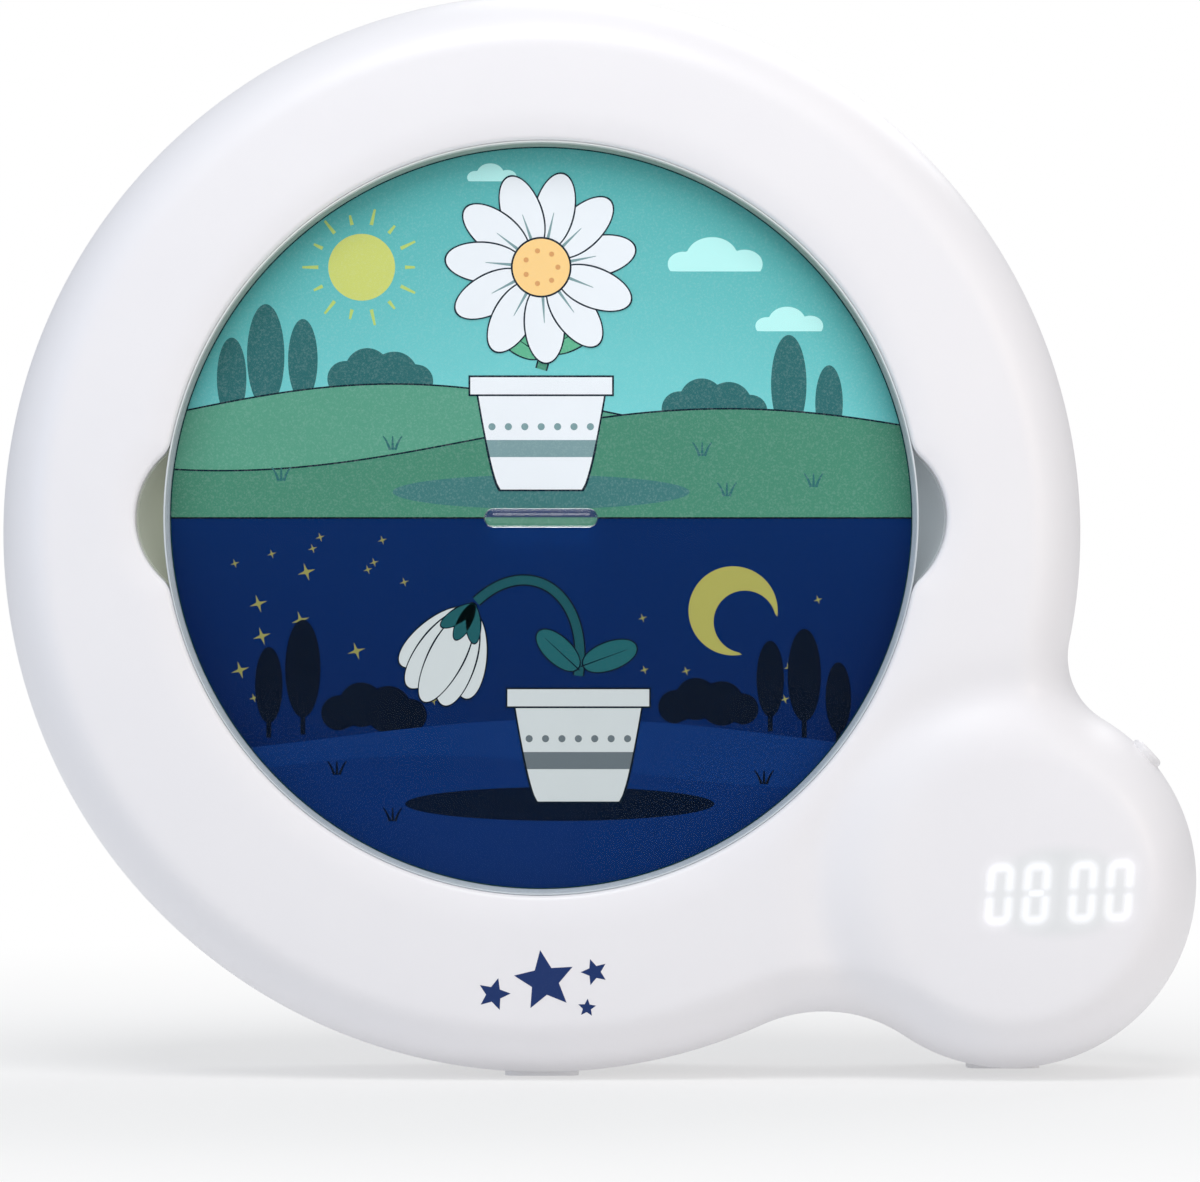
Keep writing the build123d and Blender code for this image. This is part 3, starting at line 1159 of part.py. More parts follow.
def main():
    os.makedirs("parts", exist_ok=True)
    save("front_housing", front_housing())
    save("rear_housing", rear_housing())
    save("clear_lens", clear_lens())
    save("picture_film", picture_film())
    save("diffuser", diffuser())
    save("light_box", light_box())
    save("light_divider", light_divider())
    save("day_led_board", lamp_board(1))
    save("day_leds", lamps(1))
    save("night_led_board", lamp_board(-1))
    save("night_leds", lamps(-1))
    save("main_board", main_board())
    save("board_chips", board_chips())
    save("tact_switches", tact_switches())
    for name, offset in zip(BUTTON_NAMES, button_offsets()):
        save(name, rear_button(offset))
    save("mode_switch_body", mode_switch_body())
    save("mode_switch_knob", mode_switch_knob())
    save("usb_inlet", usb_inlet())
    save("speaker_basket", speaker_basket())
    save("speaker_magnet", speaker_magnet())
    save("speaker_cone", speaker_cone())
    save("speaker_gasket", speaker_gasket())
    save("aa_cells", aa_cells())
    save("battery_contacts", battery_contacts())
    save("battery_springs", battery_springs())
    save("battery_door", battery_door())
    save("door_screw", door_screw())
    save("display_film", display_film())
    save("display_mask", display_mask())
    save("display_board", display_board())
    save("digit_leds", digit_leds())
    save("display_driver", display_driver())
    save("light_switch_board", light_switch_board())
    save("light_switch", light_switch())
    save("light_button", light_button())
    save("housing_screws", housing_screws())
    save("light_box_screws", light_box_screws())
    save("display_screws", display_screws())
    save("main_board_screws", main_board_screws())
    save("ring_feet", feet([ring_foot(FRONT_FOOT_Y, 0), ring_foot(REAR_FOOT_Y, 0)]))
    save("pod_foot", feet([pod_foot(0)]))
    save("day_led_lead", lamp_lead(1))
    save("night_led_lead", lamp_lead(-1))
    save("display_lead", display_lead())
    save("light_switch_lead", light_switch_lead())
    save("speaker_lead", speaker_lead())
    save("battery_lead", battery_lead())


main()
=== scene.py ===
# %% [markdown]
# # A picture clock with a round cover
# The clock is a white ring with a small round pod at its lower right. Behind the ring's opening
# lies a printed film under a clear cover, and the pod glows with the time. The sizes come from
# the frame, a finished mechanical model, so this lesson never guesses where a piece goes: it
# reads the boxes of the frame's parts and builds the visible surfaces around them.

# %% Load the frame
from functools import partialmethod

import bmesh
import bpy
import numpy as np
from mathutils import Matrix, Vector


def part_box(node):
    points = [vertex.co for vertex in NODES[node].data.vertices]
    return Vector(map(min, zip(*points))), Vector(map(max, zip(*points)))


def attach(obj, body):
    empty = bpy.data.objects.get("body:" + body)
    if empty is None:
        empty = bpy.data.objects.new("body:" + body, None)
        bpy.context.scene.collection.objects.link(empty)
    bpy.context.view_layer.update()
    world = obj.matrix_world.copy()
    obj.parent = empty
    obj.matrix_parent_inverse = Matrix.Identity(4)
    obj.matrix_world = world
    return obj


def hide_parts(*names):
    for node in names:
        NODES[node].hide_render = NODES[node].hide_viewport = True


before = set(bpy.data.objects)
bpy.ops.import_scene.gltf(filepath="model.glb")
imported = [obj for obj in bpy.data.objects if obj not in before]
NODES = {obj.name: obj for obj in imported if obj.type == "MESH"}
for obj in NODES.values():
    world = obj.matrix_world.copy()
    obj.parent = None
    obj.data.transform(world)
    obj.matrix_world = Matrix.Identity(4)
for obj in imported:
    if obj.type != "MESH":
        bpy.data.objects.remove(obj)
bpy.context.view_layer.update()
MM = 0.001

# %% [markdown]
# ## Sizes
# A few sizes of the mould are needed to follow it: the two circles of the outline, the hollow
# blends between them and the opening. Where a box of the frame gives a size, it is measured
# instead of written down. All of them are in millimetres, as on a drawing.

# %% Measure the frame
def corners(node):
    """Lowest and highest corner of a node, in millimetres."""
    low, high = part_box(node)
    return np.array(low) / MM, np.array(high) / MM


SHELL_LOW, SHELL_HIGH = corners("front_housing")
LENS_LOW = corners("clear_lens")[0]
FILM_LOW, FILM_HIGH = corners("picture_film")

POD_R = 30.6                         # round pod at the lower right
UPPER_NECK_R = 12.0                  # hollow blend between ring and pod, above
LOWER_NECK_R = 24.0                  # the same, below
RING_R = 88.0                        # the large ring round the picture
RING_X = SHELL_LOW[0] + RING_R
RING_Z = SHELL_HIGH[2] - RING_R
POD_X = SHELL_HIGH[0] - POD_R
POD_Z = 31.7
POD_FACE = -SHELL_LOW[1]             # heights are measured towards the viewer, along -Y
GRIP_RISE = 2.0                      # grip bar on the clear cover
GRIP_LENGTH = 18.4
GRIP_HEIGHT = 3.1
LENS_FACE = -LENS_LOW[1] - GRIP_RISE
LENS_RECESS = 2.6                    # clear cover behind the ring's face
RING_FACE = LENS_FACE + LENS_RECESS
FILM_BACK = -FILM_HIGH[1]
PARTING = -SHELL_HIGH[1]
OPENING_X, _, OPENING_Z = (FILM_LOW + FILM_HIGH) / 2
FILM_R = (FILM_HIGH[0] - FILM_LOW[0]) / 2
FILM_GAP = 0.8                       # between the film and the opening's wall
OPENING_R = FILM_R + FILM_GAP
BAY_R = 13.4                         # finger bays, left and right of the picture
BAY_DEPTH = 4.5                      # how far they reach into the ring
BAY_OUT = OPENING_R + BAY_DEPTH - BAY_R
BAY_BLEND_R = 5.0
print("ring centre", np.round((RING_X, RING_Z), 2), "pod centre", np.round((POD_X, POD_Z), 2))
print("opening centre", np.round((OPENING_X, OPENING_Z), 2), "radius", round(OPENING_R, 2))

# %% [markdown]
# ## A small kit for materials
# Materials here are sums: a base tone, plus a little cloudiness, times a speckle. Wiring such a
# sum by hand takes many nodes, so a Wire wraps a socket and lets Python's own operators add the
# Math nodes. Every other node comes from one method that takes its type, settings and sockets.

# %% Wires and finishes
class Wire:
    """A socket that can be added, multiplied and compared: each operator is one Math node."""

    def __init__(self, finish, socket):
        self.finish = finish
        self.socket = socket

    def math(self, operation, *others):
        return self.finish.node("Math", {"operation": operation}, dict(enumerate((self,) + others)))

    def __rsub__(self, other):
        return self.finish.node("Math", {"operation": "SUBTRACT"}, {0: other, 1: self})

    def hypot(self, other):
        return (self * self + other * other) ** 0.5


for operator, operation in {
        "__add__": "ADD", "__radd__": "ADD", "__sub__": "SUBTRACT", "__mul__": "MULTIPLY",
        "__rmul__": "MULTIPLY", "__truediv__": "DIVIDE", "__pow__": "POWER", "__abs__": "ABSOLUTE",
        "__lt__": "LESS_THAN", "smaller": "MINIMUM", "larger": "MAXIMUM", "fraction": "FRACT"}.items():
    setattr(Wire, operator, partialmethod(Wire.math, operation))


class Wiring:
    """A node tree under construction. node() adds any node and returns one output as a Wire."""

    def __init__(self, tree):
        self.tree = tree
        tree.nodes.clear()

    def node(self, kind, settings, sockets, output=0):
        made = self.tree.nodes.new("ShaderNode" + kind)
        for name, value in settings.items():
            setattr(made, name, value)
        for name, value in sockets.items():
            if isinstance(value, Wire):
                self.tree.links.new(value.socket, made.inputs[name])
            else:
                made.inputs[name].default_value = value
        return Wire(self, made.outputs[output])

    def mix(self, factor, first, second):
        """Colours: first where factor is 0, second where it is 1."""
        return self.node("Mix", {"data_type": "RGBA"}, {0: factor, 6: first, 7: second}, 2)

    def end(self, kind, last):
        output = self.tree.nodes.new(kind)
        self.tree.links.new(last.socket, output.inputs[0])


class Finish(Wiring):
    """A material, with the patterns that several materials share."""

    def __init__(self, name):
        self.material = bpy.data.materials.new(name)
        self.material.use_nodes = True
        super().__init__(self.material.node_tree)
        self.place = self.node("TexCoord", {}, {}, "Object")

    def axes(self):
        """Object coordinates in millimetres, as three Wires."""
        scaled = self.node("VectorMath", {"operation": "SCALE"}, {0: self.place, "Scale": 1000.0})
        return [self.node("SeparateXYZ", {}, {0: scaled}, axis) for axis in range(3)]

    def opening_axes(self):
        """Millimetres to the right of and above the middle of the opening, as two Wires."""
        x, _, z = self.axes()
        return x - OPENING_X, z - OPENING_Z

    def noise(self, grain, detail=2.0, place=None):
        """Cloudy value from 0 to 1 whose blobs are about grain millimetres across."""
        sockets = {"Vector": place or self.place, "Scale": 1 / (grain * MM), "Detail": detail}
        return self.node("TexNoise", {}, sockets)

    def lines(self, grain, detail, squeeze):
        """Noise drawn out into lines along X, where its scale is multiplied by squeeze."""
        place = self.node("Mapping", {}, {"Vector": self.place, "Scale": (squeeze, 1.0, 1.0)})
        return self.noise(grain, detail, place)

    def step(self, value, low, high):
        """0 below low, 1 above high, and a soft S between them."""
        sockets = {"Value": value, "From Min": low, "From Max": high}
        return self.node("MapRange", {"interpolation_type": "SMOOTHSTEP"}, sockets)

    def bump(self, height, depth):
        """Surface relief: height 0..1 stands for depth millimetres."""
        return self.node("Bump", {}, {"Height": height, "Distance": depth * MM})

    def done(self, surface):
        self.end("ShaderNodeOutputMaterial", surface)
        return self.material

    def principled(self, base, rough, relief=None, **sockets):
        """The finished surface. relief is (height, depth); sockets go by name, with _ for a space."""
        named = {name.replace("_", " "): value for name, value in sockets.items()}
        if relief:
            named["Normal"] = self.bump(*relief)
        return self.done(self.node("BsdfPrincipled", {}, {"Base Color": base, "Roughness": rough, **named}))


def tone(red, green, blue):
    """An 8-bit screen colour as the linear colour that a shader takes."""
    screen = np.array((red, green, blue)) / 255
    linear = np.where(screen < 0.04045, screen / 12.92, ((screen + 0.055) / 1.055) ** 2.4)
    return (*[float(part) for part in linear], 1.0)


def dimmed(colour, share):
    """The colour with only a share of its light."""
    return (*[part * share for part in colour[:3]], 1.0)


WHITE = (1.0, 1.0, 1.0, 1.0)
NO_LIGHT = (0.0, 0.0, 0.0, 1.0)

# %% [markdown]
# ## Camera, light and floor
# The clock is seen straight from the front, from a little over a metre away, with a long lens,
# so that its round form stays round. A large soft lamp hangs high in front, and a weaker one
# behind it lights the top. Two small tinted lamps colour the flanks, cool at the left and warm at
# the right, and a pale, faintly blue world fills the shadows. To the camera, the far floor and
# the world are white paper. Near the clock the floor keeps its soft shadow, but the paper there
# is painted darker, a painted shadow, and the floor glows: to the camera about half white near
# the clock, which lightens that shadow, and faintly to other rays, which lights the clock from below.

# %% Camera, lamps, world and floor
CAMERA_AWAY = 1.150
CAMERA_HEIGHT = 0.0791
VIEW_WIDTH = 0.1954                  # width that fills the picture at the casing's outline
OUTLINE_Y = -0.011                   # how far in front of the origin that outline lies
LAMP_TARGET = (0.0, 0.0, 0.09)       # the middle of the clock
WORLD_LEVEL = 0.50
SHADE_BLUE = (0.94, 0.965, 1.0, 1.0)
FLOOR_REACH = 6000.0
SHADOW_Y = -30.0                     # middle of the soft shadow on the floor


def in_scene(name, data):
    item = bpy.data.objects.new(name, data)
    bpy.context.scene.collection.objects.link(item)
    return item


def mesh_object(name, points, faces, smooth=True):
    """A mesh in metres from points in millimetres, at the origin, linked to the scene."""
    mesh = bpy.data.meshes.new(name)
    mesh.from_pydata((np.asarray(points) * MM).tolist(), [], np.asarray(faces).tolist())
    mesh.validate()
    mesh.polygons.foreach_set("use_smooth", np.full(len(mesh.polygons), smooth))
    mesh.update()
    return in_scene(name, mesh)


eye = bpy.data.cameras.new("camera")
eye.sensor_width = 36.0
eye.lens = eye.sensor_width * (CAMERA_AWAY + OUTLINE_Y) / VIEW_WIDTH
camera = in_scene("camera", eye)
camera.location = (0.0, -CAMERA_AWAY, CAMERA_HEIGHT)
camera.rotation_euler = (np.pi / 2, 0.0, 0.0)
bpy.context.scene.camera = camera
bpy.context.scene.view_settings.view_transform = "Standard"


def soft_lamp(name, place, size, watts, colour=WHITE[:3]):
    """A round soft box that looks at the clock."""
    box = bpy.data.lights.new(name, "AREA")
    box.shape = "DISK"
    box.size = size
    box.energy = watts
    box.color = colour
    lamp = in_scene(name, box)
    lamp.location = place
    aim = Vector(LAMP_TARGET) - Vector(place)
    lamp.rotation_euler = aim.to_track_quat("-Z", "Y").to_euler()


soft_lamp("key_lamp", (-0.06, -0.50, 0.88), 0.6, 4.6)
soft_lamp("cool_fill", (-1.00, -0.40, 0.20), 0.6, 0.9, (0.38, 0.62, 1.0))
soft_lamp("warm_fill", (0.70, -0.55, 0.28), 0.5, 1.20, (1.0, 0.84, 0.70))
soft_lamp("back_fill", (0.25, 0.80, 0.80), 0.8, 2.8)

world = bpy.data.worlds.new("studio")
bpy.context.scene.world = world
world.use_nodes = True
studio = Wiring(world.node_tree)
seen = studio.node("LightPath", {}, {}, "Is Camera Ray")
strength = seen * (1 - WORLD_LEVEL) + WORLD_LEVEL
shade = studio.mix(seen, SHADE_BLUE, WHITE)
studio.end("ShaderNodeOutputWorld", studio.node("Background", {}, {"Color": shade, "Strength": strength}))

corner_signs = np.array(((-1, -1, 0), (1, -1, 0), (1, 1, 0), (-1, 1, 0)))
floor = mesh_object("floor", FLOOR_REACH * corner_signs, [(0, 1, 2, 3)], smooth=False)
paper = Finish("floor_paper")
x, y, _ = paper.axes()
away = x.hypot(y - SHADOW_Y)
seen = paper.node("LightPath", {}, {}, "Is Camera Ray")
# The floor glows: to the camera about half white near the clock, which lightens its shadow, and wholly white
# far away; to other rays it glows at about a third and lights the clock from below.
fade = seen * (paper.step(away, 90.0, 480.0) * 0.52 + 0.12) + 0.36
fibres = paper.noise(1.2, 3.0)
# Painted shadow: the paper is painted darker near the clock, 0.79 against 0.88 farther out.
near, far = dimmed(WHITE, 0.79), dimmed(WHITE, 0.88)
paper_with_painted_shadow = paper.mix(fibres * 0.15 + paper.step(away, 70.0, 300.0) * 0.85, near, far)
sheet = paper.node("BsdfDiffuse", {}, {"Color": paper_with_painted_shadow})
glow = paper.node("Emission", {}, {"Color": WHITE})
floor.data.materials.append(paper.done(paper.node("MixShader", {}, {0: fade, 1: sheet, 2: glow})))
print("camera lens", round(eye.lens, 1), "mm")

# %% [markdown]
# ## Moulded plastic
# Nearly every casing is injection-moulded plastic. Its colour is not quite even: the melt cools
# in broad clouds, and the mould's spark-eroded skin leaves a very fine grain that softens the
# gloss. One function makes all of them, with the colour, gloss and grain as its arguments. Metal,
# circuit board and anything mottled follow the same plan.

# %% Plastic finishes
def plastic(name, colour, gloss=0.42, grain=0.35, depth=0.006, cloud=0.03):
    """Moulded plastic: cloudy colour, uneven gloss and a fine skin."""
    finish = Finish(name)
    clouds = finish.noise(26.0, 3.0)
    skin = finish.noise(grain, 2.0)
    base = finish.mix(clouds, dimmed(colour, 1 - 2 * cloud), colour)
    rough = gloss + (clouds - 0.5) * 0.10 + (skin - 0.5) * 0.08
    return finish.principled(base, rough, (skin, depth))


def metal(name, colour, gloss=0.3, grain=0.5):
    """Rolled or plated metal: fine lines along X, with faint stains."""
    finish = Finish(name)
    lines = finish.lines(grain, 3.0, 0.06)
    base = finish.mix(finish.noise(6.0), dimmed(colour, 0.75), colour)
    rough = gloss + (lines - 0.5) * 0.25
    return finish.principled(base, rough, (lines, 0.004), Metallic=1.0)


def mottled(name, first, second, grain, detail, gloss, swing=0.0, depth=None, edges=None, share=1.0,
            **sockets):
    """Two colours in cloudy blobs, which swing the gloss too. edges sharpen them, share thins them."""
    finish = Finish(name)
    clouds = finish.noise(grain, detail)
    blobs = finish.step(clouds, *edges) * share if edges else clouds
    rough = gloss + (clouds - 0.5) * swing if swing else gloss
    return finish.principled(finish.mix(blobs, first, second), rough, depth and (clouds, depth), **sockets)


def circuit(name, mask, copper):
    """Circuit board: solder mask with tracks, a little lighter, on a fine grid."""
    finish = Finish(name)
    x, _, z = finish.axes()
    wander = finish.noise(9.0, 1.0) * 4.0
    across = abs(((x + wander) / 1.3).fraction() - 0.5)
    along = abs(((z + wander) / 1.7).fraction() - 0.5)
    tracks = finish.step(across.smaller(along), 0.16, 0.08)
    patches = finish.step(finish.noise(12.0, 1.0), 0.48, 0.56)
    base = finish.mix(tracks * patches, mask, copper)
    return finish.principled(base, 0.34, (tracks * patches, 0.02))


print("finishes: plastic, metal, mottled, circuit")

# %% [markdown]
# ## The outline of the casing
# Seen from the front, the casing is two overlapping circles joined by two hollow arcs, each
# tangent to both circles. Such a blend's centre lies at ring radius plus blend radius from the
# ring's centre, and at pod radius plus blend radius from the pod's, so two circles intersect
# there. The opening is a circle too, with two smaller ones for the fingers and rounded corners
# between them, and the same rule finds those corners. An outline is then a list of arcs, which
# gives both its points and the distance from any place to it, with no table of points.

# %% Arcs of the two outlines
def direction(vector):
    return np.arctan2(vector[1], vector[0])


def towards(angle):
    """Unit vectors (cos a, sin a)."""
    return np.stack((np.cos(angle), np.sin(angle)), -1)


def wrapped(angle):
    """The same angle between -pi and pi."""
    return (angle + np.pi) % (2 * np.pi) - np.pi


def blended(first, first_r, second, second_r, blends):
    """Arcs (centre, radius, middle direction, half its sweep) of two circles joined by blends.

    A blend's centre c satisfies |c - first| = first_r + r and |c - second| = second_r + r.
    """
    gap = np.linalg.norm(second - first)
    ahead = (second - first) / gap
    aside = np.array((-ahead[1], ahead[0]))
    arcs, from_first, from_second = [], [], []
    for side, radius in blends:
        along = ((first_r + radius) ** 2 - (second_r + radius) ** 2 + gap ** 2) / (2 * gap)
        off = np.sqrt((first_r + radius) ** 2 - along ** 2)
        centre = first + along * ahead + side * off * aside
        start, end = direction(first - centre), direction(second - centre)
        half = wrapped(end - start) / 2
        arcs.append((centre, radius, start + half, abs(half)))
        from_first.append(wrapped(direction(centre - first) - direction(ahead)))
        from_second.append(wrapped(direction(centre - second) - direction(-ahead)))
    for centre, radius, facing, turns in (
            (first, first_r, ahead, from_first), (second, second_r, -ahead, from_second)):
        middle = direction(facing) + sum(turns) / 2 + np.pi
        arcs.append((centre, radius, middle, np.pi - abs(turns[0] - turns[1]) / 2))
    return arcs


def distance_to(arcs, x, z):
    """Shortest way to the outline: | |p - c| - r |, over the arcs that face the point."""
    nearest = np.full(np.shape(x), np.inf)
    for centre, radius, middle, half in arcs:
        away_x, away_z = x - centre[0], z - centre[1]
        faces = abs(wrapped(np.arctan2(away_z, away_x) - middle)) <= half + 1e-6
        gap = abs(np.hypot(away_x, away_z) - radius)
        nearest = np.where(faces, np.minimum(nearest, gap), nearest)
    return nearest


def points_of(arcs, count=3000):
    """Points along every arc: c + r (cos a, sin a)."""
    rows = []
    for centre, radius, middle, half in arcs:
        angle = np.linspace(middle - half, middle + half, count)
        rows.append(centre + radius * towards(angle))
    return np.concatenate(rows)


def radius_at(points, centre, angle):
    """How far the outline lies from a centre in each direction."""
    away = points - centre
    bearing = np.arctan2(away[:, 1], away[:, 0])
    order = np.argsort(bearing)
    return np.interp(angle, bearing[order], np.hypot(*away.T)[order], period=2 * np.pi)


RING = np.array((RING_X, RING_Z))
POD = np.array((POD_X, POD_Z))
OPENING = np.array((OPENING_X, OPENING_Z))
CASING = blended(RING, RING_R, POD, POD_R, ((1, UPPER_NECK_R), (-1, LOWER_NECK_R)))
BAY = blended(np.zeros(2), OPENING_R, np.array((BAY_OUT, 0.0)), BAY_R,
              ((1, BAY_BLEND_R), (-1, BAY_BLEND_R)))
right_half = points_of(BAY)
right_half = right_half[right_half[:, 0] >= 0]
OPENING_POINTS = OPENING + np.concatenate((right_half, right_half * (-1, 1)))
CASING_POINTS = points_of(CASING)


def from_opening(x, z):
    """Distance to the opening's edge. Left is the mirror image of right, so x is folded."""
    return distance_to(BAY, abs(x - OPENING_X), z - OPENING_Z)


for name, outline in (("casing", CASING_POINTS), ("opening", OPENING_POINTS)):
    print(name, "width and height", np.round(np.ptp(outline, axis=0), 2))

# %% [markdown]
# ## The front shell as one surface
# On the real clock the front is a single moulding: a soft roll at the outer edge, a nearly flat
# ring, a slope down to the picture, and a pod that swells out of the ring with no line between
# them. It could be built from solids with fillets, but a fillet stops where the pod and the roll
# meet. A height for every place is simpler. The edge roll is a superellipse of the distance to
# the outline, a parabola crowns the ring, and the pod adds a smooth step of the distance to its
# own middle. A smooth minimum cuts the slope down to the picture.

# %% Height of the front shell
ROLL_WIDTH = 9.5                     # tight roll at the outer edge
ROLL_DEPTH = 17.0
CROWN_WIDTH = 26.0                   # slow fall from the opening to that roll
CROWN_HEIGHT = 2.4
POD_FLAT_R = 20.0                    # the pod rises from the ring between these two radii
POD_FOOT_R = 33.0
VALLEY_R = 31.5                      # shallow valley round the pod's foot
VALLEY_WIDTH = 4.5
VALLEY_DEPTH = 0.9
LIP_SLOPE = 0.32
LIP_EDGE = 0.95                      # opening's edge behind the ring's face
LIP_MELT = 0.9
EDGE_R = 0.7
WELL_FLOOR = FILM_BACK - 0.6         # where the opening's wall ends
WALL = 2.2
WELL_WALL = 1.8


def roll(depth, width, inside, power=2.1):
    """Quarter of a superellipse: 0 at the edge, depth from width inwards, upright at the edge."""
    left = 1 - np.clip(inside / width, 0, 1)
    return depth * (1 - left ** power) ** (1 / power)


def smooth_min(first, second, k):
    """The smaller of two heights, rounded where they come within k: min - (k - |d|)^2 / 4k."""
    near = np.maximum(k - abs(first - second), 0) / k
    return np.minimum(first, second) - near ** 2 * k / 4


def front_height(x, z):
    """Height of the front towards the viewer, in millimetres, at any place in the outline."""
    inside = distance_to(CASING, x, z)
    crown = CROWN_HEIGHT * (1 - np.clip(inside / CROWN_WIDTH, 0, 1)) ** 2
    from_pod = np.hypot(x - POD_X, z - POD_Z)
    t = np.clip((POD_FOOT_R - from_pod) / (POD_FOOT_R - POD_FLAT_R), 0, 1)
    pod = (POD_FACE - RING_FACE) * t ** 2 * (3 - 2 * t)
    pod -= VALLEY_DEPTH * np.exp(-((from_pod - VALLEY_R) / VALLEY_WIDTH) ** 2)
    height = RING_FACE + pod - crown - ROLL_DEPTH + roll(ROLL_DEPTH, ROLL_WIDTH, inside)
    from_edge = from_opening(x, z)
    height = smooth_min(height, RING_FACE - LIP_EDGE + LIP_SLOPE * from_edge, LIP_MELT)
    return height - EDGE_R + roll(EDGE_R, EDGE_R, from_edge, 2.0)


SIDES = 960                          # spokes round the ring's centre
CROWDING, CROWD_WIDTH = 1.6, 0.34    # more spokes towards the pod, within this angle in radians
pod_direction = direction(POD - RING)
even = np.linspace(-np.pi, np.pi, 20001)
crowding = 1 + CROWDING * np.exp(-(wrapped(even - pod_direction) / CROWD_WIDTH) ** 2)
share = np.concatenate(((0,), np.cumsum((crowding[1:] + crowding[:-1]) / 2)))
SPOKE = np.interp(np.arange(SIDES) / SIDES * share[-1], share, even)[:, None]
INNER_R = radius_at(OPENING_POINTS, RING, SPOKE)
OUTER_R = radius_at(CASING_POINTS, RING, SPOKE)
print("spokes", SIDES, "inner", np.round((INNER_R.min(), INNER_R.max()), 1),
      "outer", np.round((OUTER_R.min(), OUTER_R.max()), 1))

# %% [markdown]
# A row of points along every spoke turns the height into a mesh. Equal steps in radius would
# leave long thin faces on the upright edges, so the rows are spread by the length of the curve
# itself: the profile is worked out on many steps, its length is added up, and the rows are read
# back at chosen lengths. The wall of the opening, the flank and the inner face follow, and the
# last row joins the first, so the shell is closed.

# %% Build the front shell
FINE = 360                           # steps of the profile before its rows are chosen
WELL_ROWS, LIP_ROWS, FACE_ROWS, FLANK_ROWS, INSIDE_ROWS = 4, 16, 58, 7, 14
LIP_SPAN = 3.4
PARTING_BEVEL = 0.3
SPOKE_SHIFT = 1000.0                 # sets the spokes' lengths apart, so one interp serves them all


def grid_faces(rows, columns, close_rows=False, close_columns=True):
    """Quads of a grid of points stored row by row, wrapped where it closes."""
    row = np.arange(rows if close_rows else rows - 1)[:, None]
    column = np.arange(columns if close_columns else columns - 1)[None, :]
    up, along = (row + 1) % rows, (column + 1) % columns
    quad = (row * columns + column, row * columns + along, up * columns + along, up * columns + column)
    return np.stack(quad, -1).reshape(-1, 4)


def around(points):
    """Unit vectors in even steps round the circle."""
    return towards(np.linspace(0, 2 * np.pi, points, endpoint=False))


def carried(name, profile, centre, rim, core=0.0, ring=False, sharp=None):
    """A profile (size, height) carried round a rim: point = centre + core + size * rim.

    A ring's profile closes on itself. Points that lie on each other merge, so a row of size 0
    becomes one point. Edges over sharp degrees stay sharp.
    """
    size, height = np.array(profile, float).T
    rows = centre + core + size[:, None, None] * rim
    y = np.broadcast_to(-height[:, None], rows.shape[:2])
    points = np.stack((rows[..., 0], y, rows[..., 1]), -1).reshape(-1, 3)
    made = mesh_object(name, points, grid_faces(*rows.shape[:2], close_rows=ring))
    shape = bmesh.new()
    shape.from_mesh(made.data)
    bmesh.ops.remove_doubles(shape, verts=shape.verts, dist=1e-7)
    shape.to_mesh(made.data)
    shape.free()
    if sharp:
        made.data.set_sharp_from_angle(angle=np.radians(sharp))
    return made


sweep = (1 - np.cos(np.linspace(0, np.pi, FINE))) / 2
fine_r = INNER_R + (OUTER_R - INNER_R) * sweep
fine_h = front_height(RING_X + fine_r * np.cos(SPOKE), RING_Z + fine_r * np.sin(SPOKE))
length = np.cumsum(np.hypot(np.diff(fine_r, axis=1), np.diff(fine_h, axis=1)), axis=1)
length = np.concatenate((np.zeros((SIDES, 1)), length), axis=1)
lip_part = LIP_SPAN * np.linspace(0, 1, LIP_ROWS, endpoint=False) ** 1.5
face_part = np.linspace(0, 1, FACE_ROWS)
wanted = np.concatenate((np.broadcast_to(lip_part, (SIDES, LIP_ROWS)),
                         LIP_SPAN + (length[:, -1:] - LIP_SPAN) * face_part), axis=1)
offset = np.arange(SIDES)[:, None] * SPOKE_SHIFT
skin_r = np.interp(wanted + offset, (length + offset).ravel(), fine_r.ravel())
skin_h = np.interp(wanted + offset, (length + offset).ravel(), fine_h.ravel())

flank = np.linspace(0, 1, FLANK_ROWS + 1)[1:]
low = PARTING + PARTING_BEVEL
flank_h = skin_h[:, -1:] + (low - skin_h[:, -1:]) * flank
flank_r = np.broadcast_to(OUTER_R, flank_h.shape)
inside = np.linspace(1, 0, INSIDE_ROWS)
inner_sweep = FINE - 1 - np.round((1 - inside) * (FINE - 1)).astype(int)
inside_h = np.minimum(fine_h[:, inner_sweep] - WALL, RING_FACE - WALL)
inside_r = INNER_R + WELL_WALL + (fine_r[:, inner_sweep] - INNER_R) * (
    1 - (WALL + WELL_WALL) / (OUTER_R - INNER_R))
one = np.ones((SIDES, 1))
well = np.linspace(0, 1, WELL_ROWS, endpoint=False)
well_h = WELL_FLOOR + (skin_h[:, :1] - WELL_FLOOR) * well
shell_r = np.concatenate((np.broadcast_to(INNER_R, well_h.shape), skin_r, flank_r, OUTER_R - PARTING_BEVEL,
                          OUTER_R - WALL, inside_r, INNER_R + WELL_WALL), axis=1)
shell_h = np.concatenate((well_h, skin_h, flank_h, PARTING * one, PARTING * one, inside_h,
                          WELL_FLOOR * one), axis=1)
shell_points = np.stack((RING_X + shell_r * np.cos(SPOKE), -shell_h, RING_Z + shell_r * np.sin(SPOKE)), -1)
shell_faces = grid_faces(SIDES, shell_r.shape[1], close_rows=True)
front_shell = mesh_object("front_shell", shell_points.reshape(-1, 3), shell_faces)
front_shell.data.set_sharp_from_angle(angle=np.radians(50))
print("front shell:", len(front_shell.data.vertices), "points,", shell_r.shape[1], "rows a spoke")

